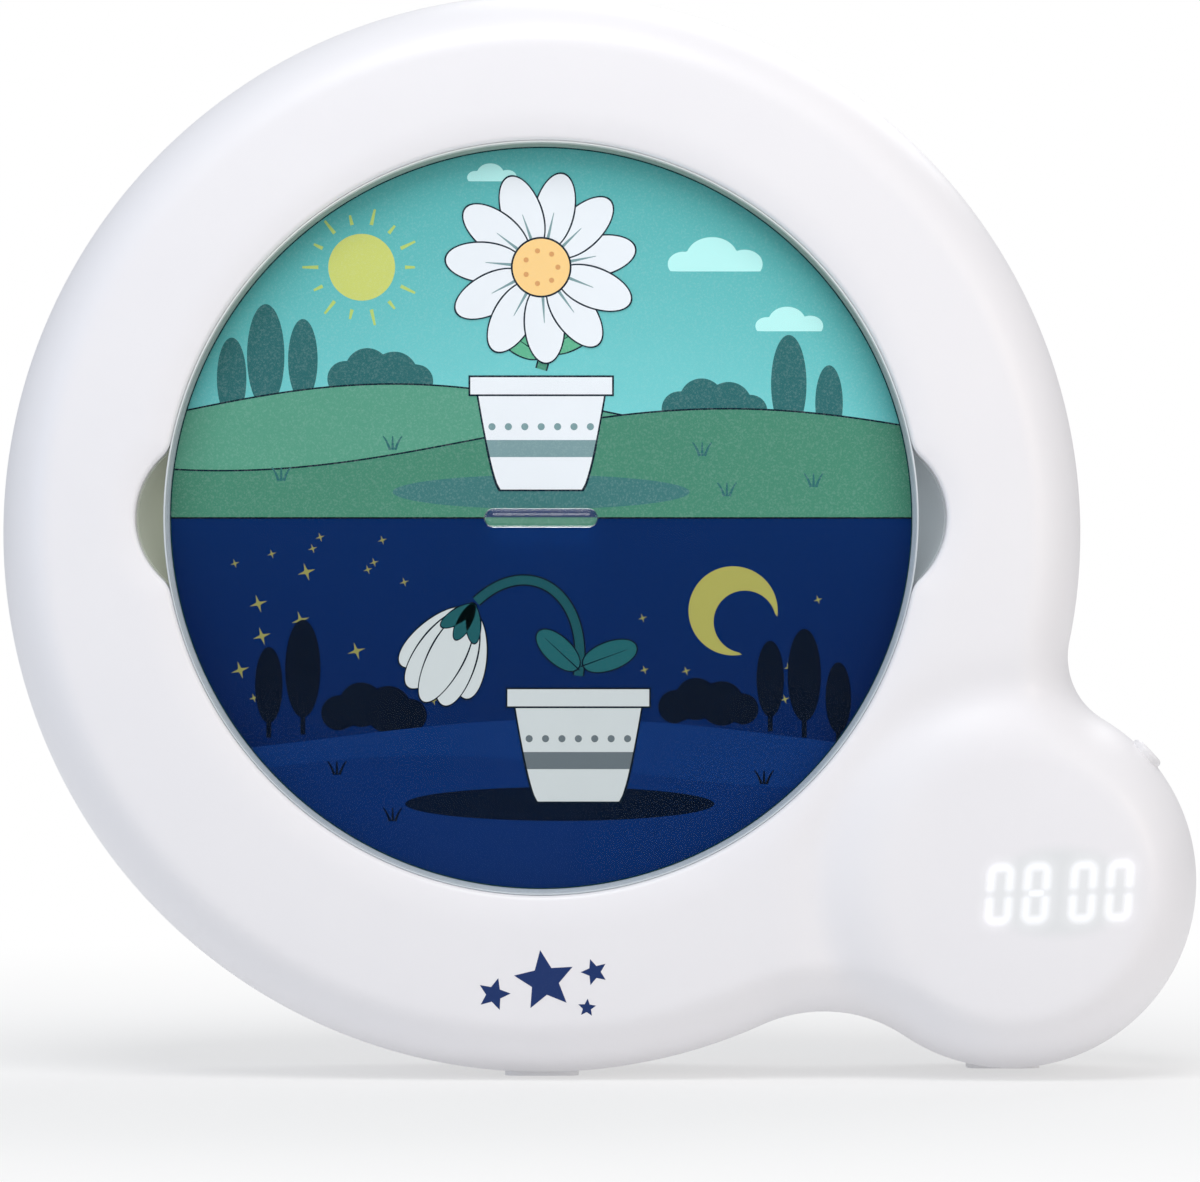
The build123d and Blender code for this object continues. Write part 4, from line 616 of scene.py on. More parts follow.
# %% [markdown]
# ## The printed picture
# The film is printed in flat inks with fine dark outlines: a daisy in a pot, open by day above
# the middle and closed at night below it. A picture like this could be a texture, but its edges
# would blur when someone comes close. Here each ink patch is a small flat mesh instead, and all
# patches lie in one object, a few micrometres apart, so the edges stay sharp at any distance.
# Every patch is a grid between an inner and an outer line: a petal or a bush between its centre
# and its rim, a hill between the ground and its ridge, a stem between its two sides.

# %% Ink patches
INK_STEP = 0.004                     # one layer of ink on the next
PAPER_HEIGHT = -FILM_LOW[1] - 0.2
DARK = tone(12, 26, 40)
ink_points, ink_faces, ink_tones = [], [], []


def patch(inner, outer, layer, colour, top_colour=None):
    """One ink patch: quads between two lines of points (u right, v up, from the picture's middle)."""
    columns = len(inner)
    drawn = sum(len(points) for points in ink_points)
    flat = np.concatenate((inner, outer))
    height = np.full(len(flat), PAPER_HEIGHT + layer * INK_STEP)
    ink_points.append(np.stack((OPENING_X + flat[:, 0], -height, OPENING_Z + flat[:, 1]), -1))
    ink_faces.append(grid_faces(2, columns, close_columns=False) + drawn)
    ink_tones.append(np.repeat(np.array((colour, top_colour or colour)), columns, axis=0))


def blob(u, v, radius, layer, colour, turn=0.0, squash=1.0, line=None, points=64):
    """A closed patch about (u, v). radius(a) gives its rim for the angle a; squash flattens it.

    Point = centre + R(turn) (r cos a, squash r sin a). line draws the same rim, larger, below it.
    """
    angle = np.linspace(0, 2 * np.pi, points + 1)
    reach = radius(angle) if callable(radius) else np.full(points + 1, float(radius))
    rim = reach[:, None] * towards(angle) * (1, squash)
    if line:
        size = np.hypot(*rim.T)[:, None]
        add_turned(u, v, rim * (1 + line / np.maximum(size, 0.2)), turn, layer - 1, DARK)
    add_turned(u, v, rim, turn, layer, colour)


def add_turned(u, v, rim, turn, layer, colour):
    """Turn a rim about its centre, move it to (u, v) and fill it from the centre."""
    cos, sin = towards(turn)
    moved = rim @ np.array(((cos, sin), (-sin, cos))) + (u, v)
    patch(np.full_like(moved, (u, v)), moved, layer, colour)


def stroke(points, width, layer, colour, line=None, taper=1.0):
    """A stem or line: a Bezier curve through de Casteljau's rule, with two sides set off from it."""
    t = np.linspace(0, 1, 33)[:, None]
    curve = [np.array(point, float) for point in points]
    while len(curve) > 1:
        curve = [first + (second - first) * t for first, second in zip(curve, curve[1:])]
    ahead = np.gradient(curve[0], axis=0)
    ahead /= np.hypot(*ahead.T)[:, None]
    side = np.stack((-ahead[:, 1], ahead[:, 0]), -1)
    half = width / 2 * (1 + (taper - 1) * t)
    if line:
        patch(curve[0] + side * (half + line), curve[0] - side * (half + line), layer - 1, DARK)
    patch(curve[0] + side * half, curve[0] - side * half, layer, colour)


def band(low, high, layer, colour, top_colour=None, left=-FILM_R, right=FILM_R):
    """Ground or sky between two curves of u, cut off by the film's round edge."""
    u = (left + right) / 2 - (right - left) / 2 * np.cos(np.linspace(0, np.pi, 181))
    edge = np.sqrt(np.maximum(FILM_R ** 2 - u ** 2, 0))
    bottom = np.clip(low(u), -edge, edge)
    top = np.maximum(np.clip(high(u), -edge, edge), bottom)
    patch(np.stack((u, bottom), -1), np.stack((u, top), -1), layer, colour, top_colour)


print("ink patches: blob, stroke, band")

# %% [markdown]
# The day half has a teal sky that grows paler towards the ground, two green hills, a sun with
# short rays, clouds, rows of bushes and slim trees. The night half repeats the place in navy,
# with a moon and small stars. The two scenes share their functions, so that the same tree can
# stand in daylight or in the dark.

# %% Landscape by day and by night
SKY_TOP, SKY_LOW = tone(82, 162, 162), tone(122, 204, 208)
HILL, HILL_FAR = tone(69, 127, 105), tone(84, 146, 124)
LEAF, LEAF_DEEP = tone(46, 98, 100), tone(34, 76, 82)
NIGHT_TOP, NIGHT_LOW = tone(4, 40, 96), tone(3, 30, 82)
NIGHT_HILL, NIGHT_HILL_FAR = tone(8, 44, 104), tone(12, 50, 112)
NIGHT_LEAF = tone(4, 14, 32)
SUN_TONE, RAY_TONE, MOON_TONE = tone(190, 196, 108), tone(170, 192, 106), tone(176, 172, 92)
CLOUD_TONE, STAR_TONE = tone(176, 228, 226), tone(150, 148, 84)
FINE_LINE = 0.28
BUSH_PUFFS = np.array(((-1.5, 0, 0.75), (-0.55, 0.35, 0.95), (0.6, 0.15, 1), (1.55, -0.1, 0.7)))
CLOUD_PUFFS = np.array(((-1.2, 0, 0.6), (-0.1, 0.3, 1), (1.15, 0, 0.7)))


def level(height):
    """The curve of a level line."""
    return lambda u: np.full_like(u, height)


def swell(height, rise, middle, width):
    """The curve of a gentle hill: height + rise cos((u - middle) / width)."""
    return lambda u: height + rise * np.cos((u - middle) / width)


def puffs(circles, bottom):
    """Rim of several circles seen as one, cut flat below: the farthest c.d + sqrt(r^2 - |c x d|^2)."""
    def rim(angle):
        cos, sin = np.cos(angle), np.sin(angle)
        reach = np.zeros_like(angle)
        for u, v, radius in circles:
            under = radius ** 2 - (u * sin - v * cos) ** 2
            far_side = u * cos + v * sin + np.sqrt(np.maximum(under, 0))
            reach = np.maximum(reach, np.where(under > 0, far_side, 0))
        return np.minimum(reach, np.where(sin < -0.01, bottom / np.minimum(sin, -0.01), 1e3))
    return rim


def bush(u, v, size, layer, colour):
    blob(u, v, puffs(size * BUSH_PUFFS, -0.9 * size), layer, colour, points=128)


def cloud(u, v, size, layer, colour):
    blob(u, v, puffs(size * CLOUD_PUFFS, -0.35 * size), layer, colour, squash=0.8, points=128)


def slim_tree(u, v, height, layer, leaf, trunk):
    """Poplar: a tall drop on a short trunk."""
    stroke(((u, v - 1.0), (u, v + height * 0.3)), 0.8, layer - 1, trunk)
    blob(u, v + height * 0.58, lambda a: height * 0.44 * (1 - 0.10 * np.cos(a)), layer, leaf,
         turn=np.pi / 2, squash=0.36)


def tuft(u, v, layer, colour):
    """Grass: three short blades that lean apart."""
    for lean in (-0.7, 0.0, 0.7):
        blade = ((u + lean * 0.6, v), (u + lean * 1.3, v + 1.5), (u + lean * 2.2, v + 2.2))
        stroke(blade, 0.45, layer, colour, taper=0.4)


def star(u, v, size, layer, colour):
    """Four-pointed star: r = size / (1 + 2.6 |sin 2a|)."""
    blob(u, v, lambda a: size / (1 + 2.6 * abs(np.sin(2 * a))), layer, colour, turn=0.3)


# The skies darken towards the film's rim, by day towards the top and by night towards the bottom: partly a
# printed gradient, partly painted shade from the opening's wall.
band(level(0), level(FILM_R), 0, SKY_LOW, SKY_TOP)
band(level(-FILM_R), level(0), 0, NIGHT_LOW, NIGHT_TOP)
for u, v, height in ((-50, 14.5, 15), (-44.5, 16, 19), (-38.5, 17.5, 15), (40, 12, 18), (46.5, 11, 14)):
    slim_tree(u, v, height, 2, LEAF, LEAF_DEEP)
for u, v, height in ((37, -33.5, 14), (42.5, -34.5, 17), (48, -36, 13), (-44, -34.5, 14), (-38.5, -34, 18)):
    slim_tree(u, v, height, 2, NIGHT_LEAF, NIGHT_LEAF)
for u, v, size, ink in ((-26, 22.5, 3.8, LEAF), (28, 17.6, 3.8, LEAF),
                        (-27, -31.5, 3.8, NIGHT_LEAF), (27, -30.5, 3.6, NIGHT_LEAF)):
    bush(u, v, size, 2, ink)
for height, rise, middle, width, layer, ink in (
        (17.0, 4.5, -24, 22, 4, HILL_FAR), (12.5, 5.0, 30, 26, 6, HILL)):
    band(level(0), swell(height + FINE_LINE, rise, middle, width), layer - 1, DARK)
    band(level(0), swell(height, rise, middle, width), layer, ink)
band(level(-FILM_R), swell(-35.5, 3.0, 4, 24), 4, NIGHT_HILL_FAR)
band(level(-FILM_R), swell(-41.0, 2.6, -18, 20), 6, NIGHT_HILL)
for u, v in ((-42, 6.0), (-24, 11.0), (26, 10.0), (44, 5.0), (30, 3.5),
             (-33, -41.5), (36, -43), (-24, -49.0)):
    tuft(u, v, 8, LEAF if v > 0 else NIGHT_LEAF)

SUN = np.array((-29.0, 40.5))
blob(*SUN, 5.4, 2, SUN_TONE)
for number in range(14):
    ray = towards(number * np.pi / 7)
    stroke((SUN + ray * 7.0, SUN + ray * (8.6, 9.6)[number % 2]), 0.6, 2, RAY_TONE, taper=0.6)
for u, v, size in ((28, 41, 4.2), (40, 31, 3.0), (-8, 55.0, 2.2)):
    cloud(u, v, size, 2, CLOUD_TONE)

MOON, MOON_TURN = np.array((31.0, -15.0)), -0.75


def open_circle(radius, gap):
    """A circle with an opening of 2 gap radians, on the side that the moon turns to."""
    return radius * towards(np.linspace(gap, 2 * np.pi - gap, 61) + MOON_TURN)


patch(MOON + 2.6 * towards(MOON_TURN) + open_circle(5.05, 1.02), MOON + open_circle(7.2, 0.62), 2, MOON_TONE)
draw = np.random.default_rng(11)
sky_stars = [(u, v) for u, v in draw.uniform((-52, -30), (50, -3), (46, 2))
             if np.hypot(u, v) < 55 and np.hypot(*(MOON - (u, v))) > 11 and not -17 < u < 16]
for place, (u, v) in enumerate(sky_stars):
    star(u, v, 1.5 if place % 4 == 0 else 0.8, 1, STAR_TONE)
for left, right in ((-FILM_R, -GRIP_LENGTH / 2), (GRIP_LENGTH / 2, FILM_R)):
    band(level(-0.14), level(0.14), 9, tone(6, 14, 26), None, left, right)
rim = towards(np.linspace(0, 2 * np.pi, 361))
# A thin dark ring round the film's edge is painted shadow, where the opening's edge shades the film.
patch(rim * (FILM_R - 0.34), rim * (FILM_R - 0.02), 9, tone(20, 62, 66))
print("landscape drawn, stars:", len(sky_stars))

# %% [markdown]
# The flower is the large white form of the picture. By day its petals stand around a warm
# centre. At night the stem bends over and the petals fold into a closed bud. Each petal is drawn
# over its own slightly larger dark copy, so the thin outline appears where petals overlap.

# %% Daisy in a pot
PETAL, PETAL_NIGHT = tone(222, 225, 231), tone(212, 218, 220)
SHADE, SHADE_NIGHT = tone(118, 146, 150), tone(108, 118, 124)
STEM, STEM_NIGHT = tone(70, 136, 112), tone(30, 84, 92)
GREEN, GREEN_NIGHT = tone(92, 168, 134), tone(36, 98, 104)
HEART, HEART_DOT, SEPAL = tone(236, 196, 132), tone(206, 150, 96), tone(34, 92, 98)
POT_SIZE = 10.6
HEAD, PETALS, HEAD_TURN = np.array((0.0, 40.5)), 11, 0.2
BUD, DROOP = np.array((-11.2, -14.5)), -2.05


def petal_rim(length):
    """Petal about its own middle, an egg a little fuller at the tip: r = length / 2 (1 + cos a / 10)."""
    return lambda a: length / 2 * (1 + 0.10 * np.cos(a))


def pot(u, v, size, layer, white, shade):
    """Flower pot: a bowl that tapers to its foot, with a rim and a painted band."""
    rise = np.linspace(0, 1, 17)
    top = v + size * 1.45

    def sides(low, high, grow):
        t = low + (high - low) * rise
        half = size * (0.62 + 0.34 * t ** 0.7) + grow
        height = v + size * 1.45 * t
        return np.stack((u + half, height), -1), np.stack((u - half, height), -1)

    right, left = sides(0, 1, 0.3)
    foot = np.array((0, 0.3)) * (rise[:, None] < 0.5)
    patch(right - foot, left - foot, layer - 1, DARK)
    patch(*sides(0, 1, 0), layer, white)
    patch(*sides(0.34, 0.52, 0), layer + 1, shade)
    for dot in np.arange(-3, 4) * size * 0.25:
        blob(u + dot, v + size * 1.45 * 0.66, size * 0.055, layer + 1, shade, points=16)
    for grow, ink, at in ((0.3, DARK, layer + 1), (0.0, white, layer + 2)):
        half = size * 1.08 + grow
        low, high = [np.array(((u - half, height), (u + half, height)))
                     for height in (top - grow, top + size * 0.26 + grow)]
        patch(low, high, at, ink)


def leaf(u, v, length, turn, layer, colour):
    """Leaf: a pointed egg with a middle rib."""
    start, along = np.array((u, v)), length * towards(turn)
    blob(*(start + along / 2), lambda a: length / 2 * (1 - 0.1 * np.cos(2 * a)), layer, colour,
         turn=turn, squash=0.4, line=0.26)
    stroke((start, start + 0.8 * along), 0.22, layer + 1, DARK, taper=0.3)


blob(0, 4.2, 24.0, 8, tone(62, 112, 112), squash=0.115)
stroke(((0, 24), (1.8, 30), (0, 38)), 1.5, 11, STEM, line=0.26)
leaf(0.6, 27, 10.5, 0.55, 13, GREEN)
leaf(0.4, 26, 9.5, np.pi - 0.6, 13, GREEN)
pot(0, 4.6, POT_SIZE, 16, PETAL, SHADE)
for place in range(PETALS):
    turn = place * 2 * np.pi / PETALS + HEAD_TURN
    at = HEAD + 8.6 * towards(turn)
    blob(*at, petal_rim(12.4), 20 + 2 * place, PETAL, turn=turn, squash=0.50, line=0.28)
    stroke((HEAD + (at - HEAD) * 0.55, HEAD + (at - HEAD) * 1.05), 0.5, 21 + 2 * place, SHADE, taper=0.2)
blob(*HEAD, 4.6, 44, HEART, line=0.3)
for turn in np.arange(7) * 2 * np.pi / 7:
    blob(*(HEAD + 2.7 * towards(turn)), 0.42, 45, HEART_DOT, points=16)

blob(3, -46.2, 25.0, 8, tone(3, 16, 38), squash=0.11)
stroke(((6, -25.5), (8, -12), (-2, -5.5), (-10.5, -13.5)), 1.4, 11, STEM_NIGHT, line=0.26)
leaf(6.4, -24.0, 10.0, 0.35, 13, GREEN_NIGHT)
leaf(6.2, -24.6, 9.5, np.pi - 0.75, 13, GREEN_NIGHT)
pot(6, -45.8, POT_SIZE, 16, PETAL_NIGHT, SHADE_NIGHT)
for place, (turn, size, wide) in enumerate(((-0.42, 14.0, 0.40), (0.42, 14.0, 0.40), (-0.2, 15.6, 0.38),
                                            (0.2, 15.6, 0.38), (0.0, 16.2, 0.34))):
    at = BUD + size / 2 * towards(DROOP + turn)
    blob(*at, petal_rim(size), 20 + 2 * place, PETAL_NIGHT, turn=DROOP + turn, squash=wide, line=0.28)
for turn in DROOP + np.array((-0.55, 0.0, 0.55)):
    blob(*(BUD + 2.2 * towards(turn)), petal_rim(6.4), 32, SEPAL, turn=turn, squash=0.36, line=0.24)


def to_the_viewer(points, faces):
    """Quads turned to face -Y, without those that have no area, by the diagonals' cross product."""
    first = points[faces[:, 2]] - points[faces[:, 0]]
    second = points[faces[:, 3]] - points[faces[:, 1]]
    facing = first[:, 2] * second[:, 0] - first[:, 0] * second[:, 2]
    return np.where(facing[:, None] > 0, faces[:, ::-1], faces)[abs(facing) > 1e-7]


all_points, all_faces = np.concatenate(ink_points), np.concatenate(ink_faces)
picture = mesh_object("printed_picture", all_points, to_the_viewer(all_points, all_faces), smooth=False)
ink = picture.data.color_attributes.new("ink", "FLOAT_COLOR", "POINT")
ink.data.foreach_set("color", np.concatenate(ink_tones).astype(np.float32).ravel())
print("printed picture:", len(ink_points), "patches,", len(all_points), "points")

# %% [markdown]
# The inks are read from the attribute by one material, which adds what a printing press adds: a
# fine grain where the film shows between the dots of ink. The film itself is a thin round plate
# behind the patches, a profile carried round a circle, so that its rim is closed.

# %% Film and ink
FILM_FACE = PAPER_HEIGHT - 0.01
film = carried("film_sheet", ((0, FILM_BACK), (FILM_R, FILM_BACK), (FILM_R, FILM_FACE), (0, FILM_FACE)),
               OPENING, around(192), sharp=40)


def printed(name):
    """Inks with a fine grain, under a painted backlight glow from behind: bright by day, faint by night, a
    little brighter to the right, with painted shade dimming it near the rim.
    """
    finish = Finish(name)
    colour = finish.node("Attribute", {"attribute_name": "ink"}, {}, "Color")
    grain = finish.noise(0.28, 1.0)
    clouds = finish.noise(14.0, 2.0)
    right, up = finish.opening_axes()
    day = finish.step(up, -0.2, 0.2)
    speckled = finish.mix(finish.step(grain, 0.45, 0.75) * (day * 0.07 + 0.008), colour, tone(200, 215, 215))
    base = finish.mix(clouds * 0.06, speckled, tone(20, 50, 80))
    from_rim = FILM_R - right.hypot(up)
    # Painted light: the inks glow as if lit from behind, a little more to the right, and painted shade dims
    # the glow near the rim, where the opening's lip shades the film.
    painted_backlight = (day * 0.26 + 0.02) * (right * 0.003 + 1.0) * finish.step(from_rim, -2.0, 9.0)
    glow = finish.mix(painted_backlight, NO_LIGHT, base)
    return finish.principled(base, 0.6, Specular_IOR_Level=0.02, Emission_Color=glow, Emission_Strength=1.0)


picture.data.materials.append(printed("film_print"))
film.data.materials.append(plastic("film_white", tone(226, 230, 232), 0.5, 0.2, 0.002))
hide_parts("picture_film")
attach(film, "picture_cover")
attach(picture, "picture_cover")
print("film sheet:", len(film.data.vertices), "points, radius", round(FILM_R, 2))

# %% [markdown]
# ## The clear cover
# A clear part can be real glass to the renderer, with rays that bend, but then the lamps no
# longer light the picture behind it. A thin flat cover hardly bends anything, so it is mixed
# from two simple surfaces: transparent, and a sharp gloss whose share grows at grazing angles.
#
# The moulded grip bar is different: it is thick and round, so it shows the picture behind it
# upside down, as a rod of glass does. It is a true refracting piece over the bar of the frame.
# Round its edge the cover has a frosted flange, which hides where film and tray begin.

# %% Clear cover, its grip bar and its frosted flange
GRIP_BACK = LENS_FACE - 1.2
FLANGE_IN = FILM_R - 0.15
FLANGE_OUT = OPENING_R - 0.03
FLANGE_BACK = FILM_BACK + 0.5
BEAD_WIDTH = 0.34                    # half-round bead along the flange's outer edge
BEAD_HIGH = LENS_FACE + 0.9


def clear_plastic(name):
    """Thin clear sheet: what lies behind it, under a gloss with faint scratches."""
    finish = Finish(name)
    relief = finish.bump(finish.lines(0.9, 4.0, 0.15), 0.0001)
    through = finish.node("BsdfTransparent", {}, {"Color": (0.985, 0.992, 0.990, 1.0)})
    gloss = finish.node("BsdfGlossy", {}, {"Color": WHITE, "Roughness": 0.05, "Normal": relief})
    share = finish.node("Fresnel", {}, {"IOR": 1.45, "Normal": relief})
    return finish.done(finish.node("MixShader", {}, {0: share * 0.06, 1: through, 2: gloss}))


def frosted_plastic(name, below, above, bead_highlight_low, bead_highlight_top):
    """Sand-blasted flange: a pale bead outside, a painted highlight that is palest at the top, and inside it
    the tint of the print that it touches, painted light from the picture, darker at the top as painted
    shade.
    """
    finish = Finish(name)
    frost = finish.noise(0.5, 4.0)
    right, up = finish.opening_axes()
    # Painted light by height: the flange darker and greener at the top as painted shade, the bead palest
    # there as a painted highlight.
    height = finish.step(up, -10, 45)
    frosted = finish.mix(frost * 0.3, finish.mix(height, below, above), tone(110, 122, 122))
    bead = finish.mix(height, bead_highlight_low, bead_highlight_top)
    outer = finish.step(right.hypot(up), FLANGE_OUT - BEAD_WIDTH - 0.2, FLANGE_OUT - 0.5 * BEAD_WIDTH)
    base = finish.mix(outer, frosted, bead)
    return finish.principled(base, 0.45 + (frost - 0.5) * 0.2, (frost, 0.02))


def thick_plastic(name):
    """Solid clear bar: light bends in it, and fine wear breaks its gloss a little."""
    finish = Finish(name)
    wear = finish.noise(0.7, 3.0)
    tint = finish.mix(wear, (0.96, 0.99, 0.99, 1.0), WHITE)
    bending = finish.node("BsdfPrincipled", {}, {
        "Base Color": tint, "Roughness": wear * 0.05, "Transmission Weight": 1.0, "IOR": 1.49,
        "Specular IOR Level": 0.25, "Normal": finish.bump(wear, 0.003)})
    straight = finish.node("BsdfTransparent", {}, {"Color": (0.95, 0.97, 0.97, 1.0)})
    shadow = finish.node("LightPath", {}, {}, "Is Shadow Ray")
    return finish.done(finish.node("MixShader", {}, {0: shadow, 1: bending, 2: straight}))


bow = np.linspace(0, np.pi / 2, 16)
half_heights = GRIP_HEIGHT / 2 * np.round(np.cos(bow), 9)
rises = LENS_FACE - 0.3 + (GRIP_RISE + 0.31) * np.sin(bow)
arcs = around(240)
straight = np.sign(arcs) * ((GRIP_LENGTH - GRIP_HEIGHT) / 2, 0)
grip = carried("cover_grip", [(0, GRIP_BACK), (GRIP_HEIGHT / 2 - 0.1, GRIP_BACK), *zip(half_heights, rises)],
               OPENING, arcs, core=straight)
grip.data.materials.append(thick_plastic("grip_clear"))
bead_arc = BEAD_WIDTH / 2 * towards(np.linspace(0, np.pi, 9)) + (FLANGE_OUT - BEAD_WIDTH / 2, BEAD_HIGH)
flange = carried("cover_flange", [
    (FLANGE_IN, FLANGE_BACK), (FLANGE_OUT, FLANGE_BACK), *bead_arc,
    (FLANGE_OUT - BEAD_WIDTH, LENS_FACE - 0.4), (FLANGE_IN + 0.2, LENS_FACE - 0.6),
    (FLANGE_IN, LENS_FACE - 0.8)], OPENING, around(192), ring=True, sharp=50)
# Flange tones: blue-grey low and darker green-grey high, painted light and shade; the bead's pale tones are
# a painted highlight.
flange.data.materials.append(frosted_plastic("flange_frosted", tone(168, 178, 190), tone(132, 156, 148),
                                             tone(198, 206, 212), tone(240, 244, 243)))
for piece in (grip, flange):
    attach(piece, "picture_cover")
print("cover grip and flange:", len(grip.data.vertices), len(flange.data.vertices), "points")

# %% [markdown]
# ## The time, glowing through the wall
# The pod has no window. Behind it the wall is thin, and small lamps shine through, so the
# numbers are soft light without an edge. They belong in the casing's material: a distance to
# the strokes of the numbers, turned into brightness. The four places are mirror images of each
# other, within a pair and between the pairs, so two folds of the sideways coordinate give all of
# them from one place, and the second place alone gets the middle bar that makes it an eight.

# %% White casing with the glowing time
DISPLAY_LOW, DISPLAY_HIGH = corners("display_film")
DISPLAY_X, _, DISPLAY_Z = (DISPLAY_LOW + DISPLAY_HIGH) / 2
ROW_TILT = np.radians(1.8)           # the row rises a little to the right
LEAN = np.tan(np.radians(6.0))
PAIR_MIDDLE = 6.70                   # middle of each pair, from the middle of the row
PLACE_STEP = 2.95                    # half the step between the two numbers of a pair
NUMBER_HALF_WIDTH = 1.52
NUMBER_HALF_HEIGHT = 4.30
NUMBER_CORNER = 1.10
STROKE_HALF = 0.52
HALO_REACH, HALO_LEVEL = 2.6, 0.22   # faint glow round the strokes
GLOW = 0.50
POD_LAYER = 3.0                      # only the pod's front, this deep, shows the numbers


def glowing_time(finish):
    """Brightness of the numbers, 0 to 1, and the faint dark patch behind them."""
    x, y, z = finish.axes()
    right, up = x - DISPLAY_X, z - DISPLAY_Z
    along = right * np.cos(ROW_TILT) + up * np.sin(ROW_TILT)
    rise = up * np.cos(ROW_TILT) - right * np.sin(ROW_TILT)
    upright = along - rise * LEAN
    folded = abs(abs(upright) - PAIR_MIDDLE) - PLACE_STEP
    side = (abs(folded) - (NUMBER_HALF_WIDTH - NUMBER_CORNER)).larger(0)
    top = (abs(rise) - (NUMBER_HALF_HEIGHT - NUMBER_CORNER)).larger(0)
    ring = abs(side.hypot(top) - NUMBER_CORNER)
    waist = finish.step(abs(rise), 0.1, 1.0)
    strokes = finish.step(ring, 2.9 * STROKE_HALF, 0.0) * (waist * 0.6 + 0.4)
    second = abs(upright + (PAIR_MIDDLE - PLACE_STEP))
    bar = finish.step(abs(rise), 1.0, 0.15) * finish.step(second, 1.7, 0.9)
    numbers = strokes.larger(bar)
    halo = finish.step(ring, HALO_REACH, 0.3) * HALO_LEVEL
    front = y < -(POD_FACE - POD_LAYER)
    window = finish.step((along * along * 0.35 + rise * rise) ** 0.5, 8.5, 5.5)
    return numbers.larger(halo) * front, window * front


def casing_white(name):
    """The casing's moulded white, with the time shining through the pod."""
    finish = Finish(name)
    clouds = finish.noise(26.0, 3.0)
    skin = finish.noise(0.35, 2.0)
    light, window = glowing_time(finish)
    shell = finish.mix(clouds, tone(235, 234, 238), tone(239, 238, 241))
    base = finish.mix(window * 0.6, shell, tone(222, 226, 227))
    glow = finish.mix(light, NO_LIGHT, (GLOW, GLOW, GLOW * 1.03, 1.0))
    rough = 0.40 + (clouds - 0.5) * 0.10 + (skin - 0.5) * 0.08
    return finish.principled(base, rough, (skin, 0.004), Emission_Color=glow, Emission_Strength=0.5)


def star_rim(angle, notch=0.46):
    """Five-pointed star of size 1: the line from a tip to a notch, r = q sin b / (sin f + q sin(b - f))."""
    half = np.pi / 5
    f = abs((angle + half) % (2 * half) - half)
    return notch * np.sin(half) / (np.sin(f) + notch * np.sin(half - f))


def print_on_casing(name, stars, points=100, rings=7, above=0.03):
    """Stars laid on the front: each is a round grid whose heights come from the front's formula."""
    angle = np.arange(points) * 2 * np.pi / points
    part = np.concatenate(((0.001,), np.linspace(0, 1, rings)[1:]))[:, None]
    rows, faces = [], []
    for u, v, size, turn in stars:
        reach = part * size * star_rim(angle)
        x = u + reach * np.cos(angle + turn)
        z = v + reach * np.sin(angle + turn)
        faces.append(grid_faces(rings, points)[:, ::-1] + len(rows) * rings * points)
        rows.append(np.stack((x, -front_height(x, z) - above, z), -1).reshape(-1, 3))
    return mesh_object(name, np.concatenate(rows), np.concatenate(faces))


STAR_X, STAR_Z = RING_X + 1.0, 15.6
stars = print_on_casing("printed_stars", (
    (STAR_X - 0.4, STAR_Z + 0.8, 5.0, 1.72), (STAR_X - 8.6, STAR_Z - 1.4, 2.7, 1.3),
    (STAR_X + 7.6, STAR_Z + 2.2, 2.2, 1.9), (STAR_X + 6.4, STAR_Z - 3.6, 1.5, 1.5)))
stars.data.materials.append(mottled("star_ink", tone(10, 44, 102), tone(110, 130, 170), 0.25, 2.0, 0.45, 0.1,
                                    edges=(0.55, 0.8), share=0.06, Specular_IOR_Level=0.3))
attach(stars, "clock")
front_shell.data.materials.append(casing_white("casing_front"))
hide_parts("front_housing")
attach(front_shell, "clock")
print("display middle", np.round((DISPLAY_X, DISPLAY_Z), 2))

# %% [markdown]
# Between the numbers' mask and the thin wall lies a milky film that blurs the small lamps. The
# pod's face already falls away at the film's lower corner, so the film is cut to a superellipse,
# |x / a|^n + |z / b|^n = 1, whose soft corners stay under the wall.

# %% Film behind the numbers
SOFT_CORNER = 4.0                    # power of the superellipse
middle, half = (DISPLAY_HIGH + DISPLAY_LOW) / 2, (DISPLAY_HIGH - DISPLAY_LOW) / 2
circle = around(160)
oval = np.sign(circle) * abs(circle) ** (2 / SOFT_CORNER) * half[::2]
back, front = -DISPLAY_HIGH[1], -DISPLAY_LOW[1]
plate = ((0, back), (1, back), (1, front), (0, front))
digit_film = carried("digit_film", plate, middle[::2], oval, sharp=40)
digit_film.data.materials.append(plastic("film_opal", tone(232, 234, 230), 0.5, 0.5, 0.004))
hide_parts("display_film")
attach(digit_film, "clock")
print("digit film", np.round(DISPLAY_HIGH - DISPLAY_LOW, 2), "mm")

# %% [markdown]
# ## Finishes of the other pieces
# The rest of the clock keeps its mechanical model, because its shapes are right as they are.
# Each piece gets the finish of its own stuff: opal tray and diffuser, rubber feet, tinned steel,
# circuit board, printed cell jackets, foam and cone paper.

# %% Wrapped, printed and soft finishes
def rubber(name, colour):
    """Silicone rubber: dull, with a dusty bloom on its high spots."""
    finish = Finish(name)
    dust = finish.noise(1.6, 4.0)
    skin = finish.noise(0.25, 2.0)
    base = finish.mix(finish.step(dust, 0.5, 0.8) * 0.2, colour, tone(170, 170, 172))
    return finish.principled(base, 0.72 + (dust - 0.5) * 0.2, (skin, 0.02))


